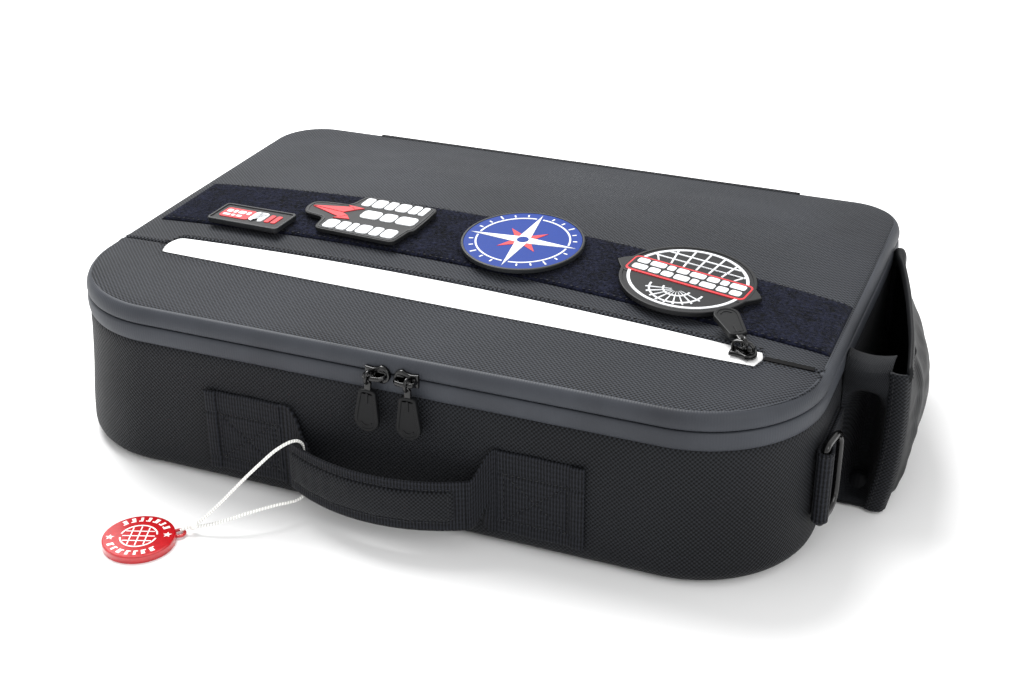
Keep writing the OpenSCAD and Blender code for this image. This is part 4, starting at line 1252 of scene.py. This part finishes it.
def ring_tab(name, side, node):
    """Webbing loop for a D-ring, sewn down the wall. The left one is the right one turned round."""
    turn = Matrix.Rotation(0 if side > 0 else math.pi, 4, "Z")
    path = [Vector((200.9, y, 0)) for y in (-45, -52, -60, -68, -76)]
    path += [Vector((200.5, -83, 0)), Vector((200.6, -88, 0))]
    path += [Vector((204.1 + 3.3 * math.cos(a), -90 + 3.3 * math.sin(a), 0))
             for a in [math.radians(d) for d in range(190, 361, 17)]]
    path += [Vector((207.0, -86.5, 0)), Vector((205.3, -83, 0)), Vector((203.5, -79.5, 0)),
             Vector((202.9, -75, 0))]
    path += [Vector((202.8, y, 0)) for y in (-68, -60, -52, -45)]
    run = [0.0]
    for before, after in zip(path, path[1:]):
        run.append(run[-1] + (after - before).length)
    rows = len(path) - 1

    def place(s, t):
        k = round(s * rows)
        z = 22.0 + 38.0 * t
        dent = 0.5 * math.exp(-((run[k] - run[-1] + 33) / 1.2) ** 2) if run[k] > run[-1] / 2 else 0
        spot = path[k] - Vector((dent, 0, 0))
        return turn @ Vector((spot.x, spot.y, z)), (run[k], z)

    bm = mapped_grid(rows, 30, place)
    piece = add_piece(name, bm, WEBBING, "bag", (node,))
    thicken(piece, 1.5, 0)
    for tag, y in (("front", -78.5), ("middle", -74.5), ("rear", -50.0)):
        out = 204.35 if y < -78 else 203.9
        rows_of = [(turn @ Vector((out, y, 24 + 34 * k / 10)), turn @ Vector((1, 0, 0)))
                   for k in range(11)]
        stitch_row(name + "_stitches_" + tag, rows_of, "bag", None, 2.0, 0.8, 0.5)
    for tag, low in (("front_low", 23.2), ("front_high", 58.8)):
        rim = [(turn @ Vector((204.1 + 4.15 * math.cos(a), -90 + 4.15 * math.sin(a), low)),
                turn @ Vector((math.cos(a), math.sin(a), 0)))
               for a in [math.radians(d) for d in range(200, 350, 12)]]
        stitch_row(name + "_stitches_" + tag, rim, "bag", None, 1.6, 0.8, 0.45)


def d_ring(name, side, body, node):
    """Lacquered D-ring: a straight bar and a round-cornered bow."""
    turn = Matrix.Rotation(0 if side > 0 else math.pi, 4, "Z")
    half, depth, bow = 21.3, 21.0, 9.0
    flat = [(0, half * k / 4) for k in range(-4, 4)]
    flat += [(k * 1.2, half) for k in range(3)]
    flat += [(depth - bow, half)]
    flat += [(depth - bow + bow * math.sin(a), half - bow + bow * math.cos(a))
             for a in [math.radians(d) for d in range(15, 91, 15)]]
    flat += [(depth, -half + bow)]
    flat += [(depth - bow + bow * math.cos(a), -half + bow - bow * math.sin(a))
             for a in [math.radians(d) for d in range(15, 91, 15)]]
    flat += [(2.4, -half), (1.2, -half), (0, -half)]
    out = math.radians(8)
    way = Vector((math.sin(out), math.cos(out), 0))
    path = [RING_AT + way * a + Vector((0, 0, b)) for a, b in flat]
    across = Vector((math.cos(out), -math.sin(out), 0))

    def section(s, t):
        a = 2 * math.pi * s
        return 2.0 * math.cos(a), 1.9 * math.sin(a)

    bm = sweep(path, across, section, closed=True, sides=16)
    bmesh.ops.transform(bm, matrix=turn, verts=bm.verts)
    face_out(bm)
    piece = add_piece(name, bm, ZINC, body, (node,))
    soft = piece.modifiers.new("smooth", "SUBSURF")
    soft.levels = soft.render_levels = 1


ring_tab("right_tab_webbing", 1, "d_ring_tab_right")
ring_tab("left_tab_webbing", -1, "d_ring_tab_left")
d_ring("right_ring_bow", 1, "right_ring", "d_ring_right")
d_ring("left_ring_bow", -1, "left_ring", "d_ring_left")


# ---------------------------------------------------------------- side pocket

POCKET_LIP, POCKET_REAR = Vector((232.0, -40.0)), Vector((203.0, 98.0))


def pocket_arc(share, rise):
    """Place along the pocket's bowed outer side, from its front lip to its rear."""
    chord = POCKET_REAR - POCKET_LIP
    way = chord.normalized()
    out = Vector((way.y, -way.x))
    return POCKET_LIP + chord * share + out * rise * 4 * share * (1 - share)


def pocket_panel():
    """Creased coated panel of the pocket, drawn in at its mouth and full below it."""
    def place(s, t):
        z = 1.4 + 78.0 * t
        rise = 9.5 + 6.5 * math.sin(math.pi * min(1.0, t * 0.95)) - 4.0 * ease((t - 0.75) / 0.25)
        spot = pocket_arc(s, rise)
        drawn = -2.6 * ease((t - 0.8) / 0.2) * math.sin(math.pi * s)
        tuck = -5.0 * (1 - t) ** 3 * (1 - s)
        crease = 1.6 * ripple(s * 60, z * 0.6, 0, 16, 4.0) + 0.7 * ripple(s * 90, z, 0, 7, 9.0)
        ridge = 1.5 * math.exp(-((s - 0.17 + 0.03 * math.sin(t * 5)) / 0.035) ** 2)
        hold = min(1.0, 8 * s) * min(1.0, 8 * (1 - s))
        return Vector((spot.x + (crease + ridge) * hold + drawn + tuck, spot.y, z)), (s * 150, z)

    bm = mapped_grid(96, 60, place)
    piece = add_piece("pocket_panel", bm, COATED_POCKET, "side_pocket", ("side_pocket_panel",))
    thicken(piece, 1.4, -1)


def pocket_hem():
    """Rolled hem round the pocket's mouth, thicker where it is turned in at the rear."""
    path = []
    for k in range(41):
        s = k / 40
        spot = pocket_arc(s, 5.5)
        drawn = -2.6 * math.sin(math.pi * s)
        path.append(Vector((spot.x + drawn + 0.2 * ripple(s * 50, 0, 0, 9, 1.0),
                            spot.y, 82.0 - 1.6 * (1 - s) + 0.5 * math.sin(6 * s))))

    def section(s, t):
        a = 2 * math.pi * s
        fat = 1.0 + 1.3 * ease((t - 0.86) / 0.12)
        return 1.5 * fat * math.cos(a), 4.0 * math.copysign(abs(math.sin(a)) ** 0.8, math.sin(a))

    bm = sweep(path, Vector((0, 0, 1)), section, sides=20)
    close_ends(bm)
    add_piece("pocket_hem", bm, COATED_POCKET, "side_pocket", ("side_pocket_hem",))
    line = []
    for k in range(1, 40):
        s = k / 40
        spot = pocket_arc(s, 5.5)
        x = spot.x - 2.6 * math.sin(math.pi * s)
        line.append((Vector((x + 1.75, spot.y, 79.6 - 1.6 * (1 - s) + 0.5 * math.sin(6 * s))),
                     Vector((0.98, -0.2, 0))))
    stitch_row("pocket_hem_stitches", line, "side_pocket", None, 2.4, 1.0, 0.5)


def pocket_border():
    """Stiff nylon border down the pocket's front edge, turned towards the front."""
    def place(s, t):
        z = 2.0 + 79.0 * t
        tuck = -5.0 * (1 - t) ** 3
        x = 223.0 + 9.4 * s + tuck + 1.2 * math.sin(math.pi * t)
        y = -40.6 - 1.3 * math.sin(math.pi * s) + 3.0 * ease((s - 0.8) / 0.2)
        return Vector((x, y + 0.3 * ripple(s * 9, z, 0, 14, 3.0), z)), (s * 10, z)

    bm = mapped_grid(14, 60, place)
    face_out(bm)
    piece = add_piece("pocket_border", bm, NYLON_FINE, "side_pocket", ())
    thicken(piece, 1.3, 0)
    pieces = [piece]
    for tag, s in (("inner", 0.18), ("outer", 0.86)):
        path = []
        for k in range(41):
            t = 0.02 + 0.96 * k / 40
            spot = place(s, t)[0]
            path.append((spot + Vector((0, -0.75, 0)), Vector((0, -1, 0))))
        pieces.append(stitch_row("pocket_border_stitches_" + tag, path, "side_pocket", None,
                                 2.2, 0.9, 0.45))
    for piece in pieces:
        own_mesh(piece)


def front_gusset():
    """Bellows at the pocket's front: a drooping tongue over a deep fold."""
    middle = [(-39.5, 3.0), (-30, 5.0), (-16, 9.0), (-9, 18.0), (-7, 30.0), (-7, 42.0), (-11, 53.0),
              (-20, 60.5), (-31, 65.0), (-38.5, 67.5), (-42.2, 71.0), (-43.0, 75.0), (-41.5, 79.0),
              (-37.5, 81.3), (-32.0, 81.8), (-27.0, 81.2)]
    sides = [(-40.0, 3.0), (-39.8, 8.0), (-39.6, 14.0), (-39.6, 21.0), (-39.6, 28.0), (-39.6, 35.0),
             (-39.6, 43.0), (-39.6, 51.0), (-39.8, 58.0), (-40.0, 64.0), (-40.4, 70.0),
             (-40.4, 76.0), (-39.0, 80.6), (-35.5, 83.4), (-31.0, 84.0), (-27.0, 83.4)]
    rows = len(middle) - 1

    def place(s, t):
        k = round(t * rows)
        w = math.sin(math.pi * s) ** 0.75
        y = sides[k][0] * (1 - w) + middle[k][0] * w
        z = sides[k][1] * (1 - w) + middle[k][1] * w
        tuck = -5.0 * (1 - z / 84) ** 3 * s if z < 84 else 0
        x = 200.9 + 22.6 * s + tuck
        return Vector((x + 0.6 * ripple(x, y, z, 9, 5.0) * w, y, z)), (s * 60, k * 6)

    bm = mapped_grid(30, rows, place)
    bmesh.ops.subdivide_edges(bm, edges=bm.edges, cuts=1, use_grid_fill=True, smooth=0.6)
    piece = add_piece("front_gusset", bm, NYLON_FINE, None, ("side_pocket_front_gusset",))
    thicken(piece, 0.7, 0)
    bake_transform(piece)


def bottom_gusset():
    """Floor of the pocket: coated cloth with a glossy fold standing up behind the bellows."""
    def place(s, t):
        outer = pocket_arc(t, 8.5)
        x = 199.8 + max(1.6, outer.x - 7.0 * (1 - t) ** 2 - 1.8 - 199.8) * s
        y = -40.5 + (outer.y + 40.5)
        fold = 9.5 * math.exp(-((y + 21 + 6 * s) / 5.5) ** 2) * math.sin(math.pi * s) ** 1.2
        z = 2.0 + fold + 0.8 * ripple(x, y, 0, 11, 2.0) * math.sin(math.pi * s)
        return Vector((x, y, max(1.2, z))), (x, y)

    bm = mapped_grid(26, 90, place)
    piece = add_piece("bottom_gusset", bm, COATED_POCKET, None, ("side_pocket_bottom_gusset",))
    thicken(piece, 0.7, 0)
    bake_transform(piece)


def pocket_rear_roll():
    """Rolled nylon binding that closes the pocket's rear against the wall, fat at its mouth."""
    path = [Vector((202.3 + 0.25 * math.sin(k * 0.7), 98.6, 1.2 + 81.8 * k / 30)) for k in range(31)]

    def section(s, t):
        a = 2 * math.pi * s
        fat = 1.0 + 0.5 * ease((t - 0.84) / 0.1) - 0.5 * ease((t - 0.965) / 0.035)
        return 2.5 * fat * math.cos(a), 2.7 * fat * math.sin(a)

    bm = sweep(path, Vector((0, 1, 0)), section, sides=20)
    close_ends(bm)
    add_piece("pocket_rear_roll", bm, NYLON_FINE, "bag", ())


pocket_panel()
pocket_rear_roll()
pocket_hem()
pocket_border()
front_gusset()
bottom_gusset()


# ---------------------------------------------------------------- tag and cords

TAG_AT, LUG_AT = (-107.0, -201.0), (-92.0, -188.5)


def tag():
    """Glossy tag with a screen-printed ring of marks, two stars and a small net of lines."""
    at = Matrix.Translation((TAG_AT[0], TAG_AT[1], 0))
    bm = bmesh.new()
    add_plate(bm, circle_points(36, 96), 0.0, 4.0, at, 0.7)
    disc = finish_plates("tag_disc_acrylic", bm, TAG_RED, "tag", ("tag_disc",))
    bm = bmesh.new()
    ring_tube(bm, 2.75, 2.75, 1.7, Matrix.Translation((LUG_AT[0], LUG_AT[1], 1.5)), 12, 32)
    add_plate(bm, rounded_points(4.0, 3.0, 0.8), 0.7, 2.3,
              Matrix.Translation((-94.6, -190.6, 0)) @ Matrix.Rotation(math.radians(40), 4, "Z"), 0.3)
    lug = finish_plates("tag_lug", bm, TAG_RED, "tag", ())
    for face in lug.data.polygons:
        face.use_smooth = True
    turned = at @ Matrix.Rotation(math.radians(20), 4, "Z")
    marks = []
    widths = (7, 5, 8, 6, 5, 7, 8)
    for start in (28, 208):
        a = start
        for w in widths:
            marks.append(arc_band(12.6, 15.9, a, a + w, 4))
            marks.append(arc_band(12.6, 13.3, a + w, a + w + 4, 3))
            a += w + 10
    marks += [star(2.3, 0.95, math.radians(18), 5, (14.0 * math.cos(math.radians(d)),
                                                    14.0 * math.sin(math.radians(d))))
              for d in (6, 186)]
    marks.append(arc_band(8.6, 9.4, 10, 170, 24))
    marks.append(arc_band(8.6, 9.4, 190, 350, 24))
    for k in (-1, 0, 1):
        marks.append(rounded_points(0.6, 2 * math.sqrt(75 - (4 * k) ** 2) - 1, 0.25, (4 * k, 0), 2))
        marks.append(rounded_points(2 * math.sqrt(75 - (4 * k) ** 2) - 1, 0.6, 0.25, (0, 4 * k), 2))
    bm = bmesh.new()
    for points in marks:
        add_plate(bm, points, 3.9, 4.06, turned, 0)
    finish_plates("tag_print", bm, TAG_WHITE, "tag")
    return disc, lug


def smooth_route(route, steps=6):
    """Points of a smooth curve through a route."""
    points = []
    last = len(route) - 1
    for k in range(last):
        a, b, c, d = (Vector(route[min(max(k + step, 0), last)]) for step in (-1, 0, 1, 2))
        for step in range(steps):
            t = step / steps
            points.append(0.5 * (2 * b + (c - a) * t + (2 * a - 5 * b + 4 * c - d) * t * t
                                 + (3 * b - a - 3 * c + d) * t ** 3))
    return points + [Vector(route[last])]


def tag_cord(name, route, node):
    """One run of the elastic, as a round skin over its route."""
    path = smooth_route(route)

    def section(s, t):
        a = 2 * math.pi * s
        return 0.8 * math.cos(a), 0.8 * math.sin(a)

    bm = sweep(path, Vector((0.3, -0.8, 0.5)), section, sides=10)
    close_ends(bm)
    piece = add_piece(name, bm, ELASTIC, None, (node,))
    length = sum((b - a).length for a, b in zip(path, path[1:]))
    return piece, [tuple(p * MM) for p in path], length * MM


tag_disc, tag_lug = tag()
bm = bmesh.new()
bmesh.ops.create_uvsphere(bm, u_segments=24, v_segments=16, radius=2.2,
                          matrix=Matrix.Translation((-86.4, -184.0, 4.6)))
for vert in bm.verts:
    away = vert.co - Vector((-86.4, -184.0, 4.6))
    turns = math.sin(4 * math.atan2(away.y, away.x) + 3 * away.z)
    vert.co += away.normalized() * 0.16 * turns
knot = add_piece("tag_knot_tied", bm, ELASTIC, "bag", ("tag_knot",))

CORD_ROUTE = [(-42, -145.9, 29), (-42.3, -145.9, 34), (-42.8, -146.2, 39.5), (-44, -149.4, 43.6),
              (-46.5, -154.5, 44.6), (-51, -160, 42), (-56, -164.5, 37), (-62, -169, 30.5),
              (-68, -173, 23.5), (-74, -177, 16.5), (-80, -180.6, 10), (-84, -182.8, 6.4),
              (-87, -184.5, 4.6), (-89.4, -186.4, 3.9), (-91.4, -188, 2.9)]
RETURN_ROUTE = [(-86.4, -184.2, 4.4), (-83, -183.3, 4.6), (-77, -181, 6), (-70, -177.5, 8.2),
                (-63, -173.2, 10.4), (-56, -168, 12), (-50.5, -162.5, 12.4), (-46.5, -157, 11.6),
                (-43.8, -151.4, 11.2), (-42.2, -147.2, 13.6), (-41.6, -145.9, 18.6),
                (-41.8, -145.9, 26)]
upper_cord, upper_path, upper_length = tag_cord("tag_cord_upper", CORD_ROUTE, "tag_cord")
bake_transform(upper_cord)
lower_cord, lower_path, lower_length = tag_cord("tag_cord_lower", RETURN_ROUTE, "tag_cord_return")
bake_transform(lower_cord)


# ---------------------------------------------------------------- materials of the kept CAD pieces

for node_name, material in {
        "lower_zip_coil": COIL, "upper_zip_coil": COIL, "pocket_zip_tail": COIL,
        "bar_patch_hook": HOOK, "dart_patch_hook": HOOK, "compass_patch_hook": HOOK,
        "globe_patch_hook": HOOK}.items():
    cad = bpy.data.objects[node_name]
    if not cad.data.materials:
        cad.data.materials.append(material)
    for slot in cad.material_slots:
        slot.material = material


# ---------------------------------------------------------------- stage and light

def stage():
    bm = bmesh.new()
    bmesh.ops.create_grid(bm, x_segments=1, y_segments=1, size=4000)
    mesh = bpy.data.meshes.new("floor")
    bm.to_mesh(mesh)
    bm.free()
    mesh.transform(Matrix.Scale(MM, 4))
    floor = bpy.data.objects.new("floor", mesh)
    SCENE.collection.objects.link(floor)
    mesh.materials.append(new_material("matt_white_paper", "#f4f4f4", 0.9, 0.2)[0])


def soft_light(name, place, target, size, power):
    light = bpy.data.lights.new(name, "AREA")
    light.shape = "DISK"
    light.size = size
    light.energy = power
    lamp = bpy.data.objects.new(name, light)
    way = Vector(target) - Vector(place)
    lamp.matrix_world = Matrix.Translation(place) @ way.to_track_quat("-Z", "Y").to_matrix().to_4x4()
    SCENE.collection.objects.link(lamp)


def lights():
    SCENE.view_settings.view_transform = "Standard"
    world = bpy.data.worlds.new("soft_sky")
    world.use_nodes = True
    sky = world.node_tree.nodes["Background"]
    sky.inputs["Color"].default_value = (1, 1, 1, 1)
    sky.inputs["Strength"].default_value = 0.92
    SCENE.world = world
    soft_light("key", (-0.7, 0.6, 1.5), (0, 0, 0), 1.2, 45)
    soft_light("fill", (1.3, -0.9, 0.9), (0, 0, 0.05), 1.0, 9)


stage()
lights()
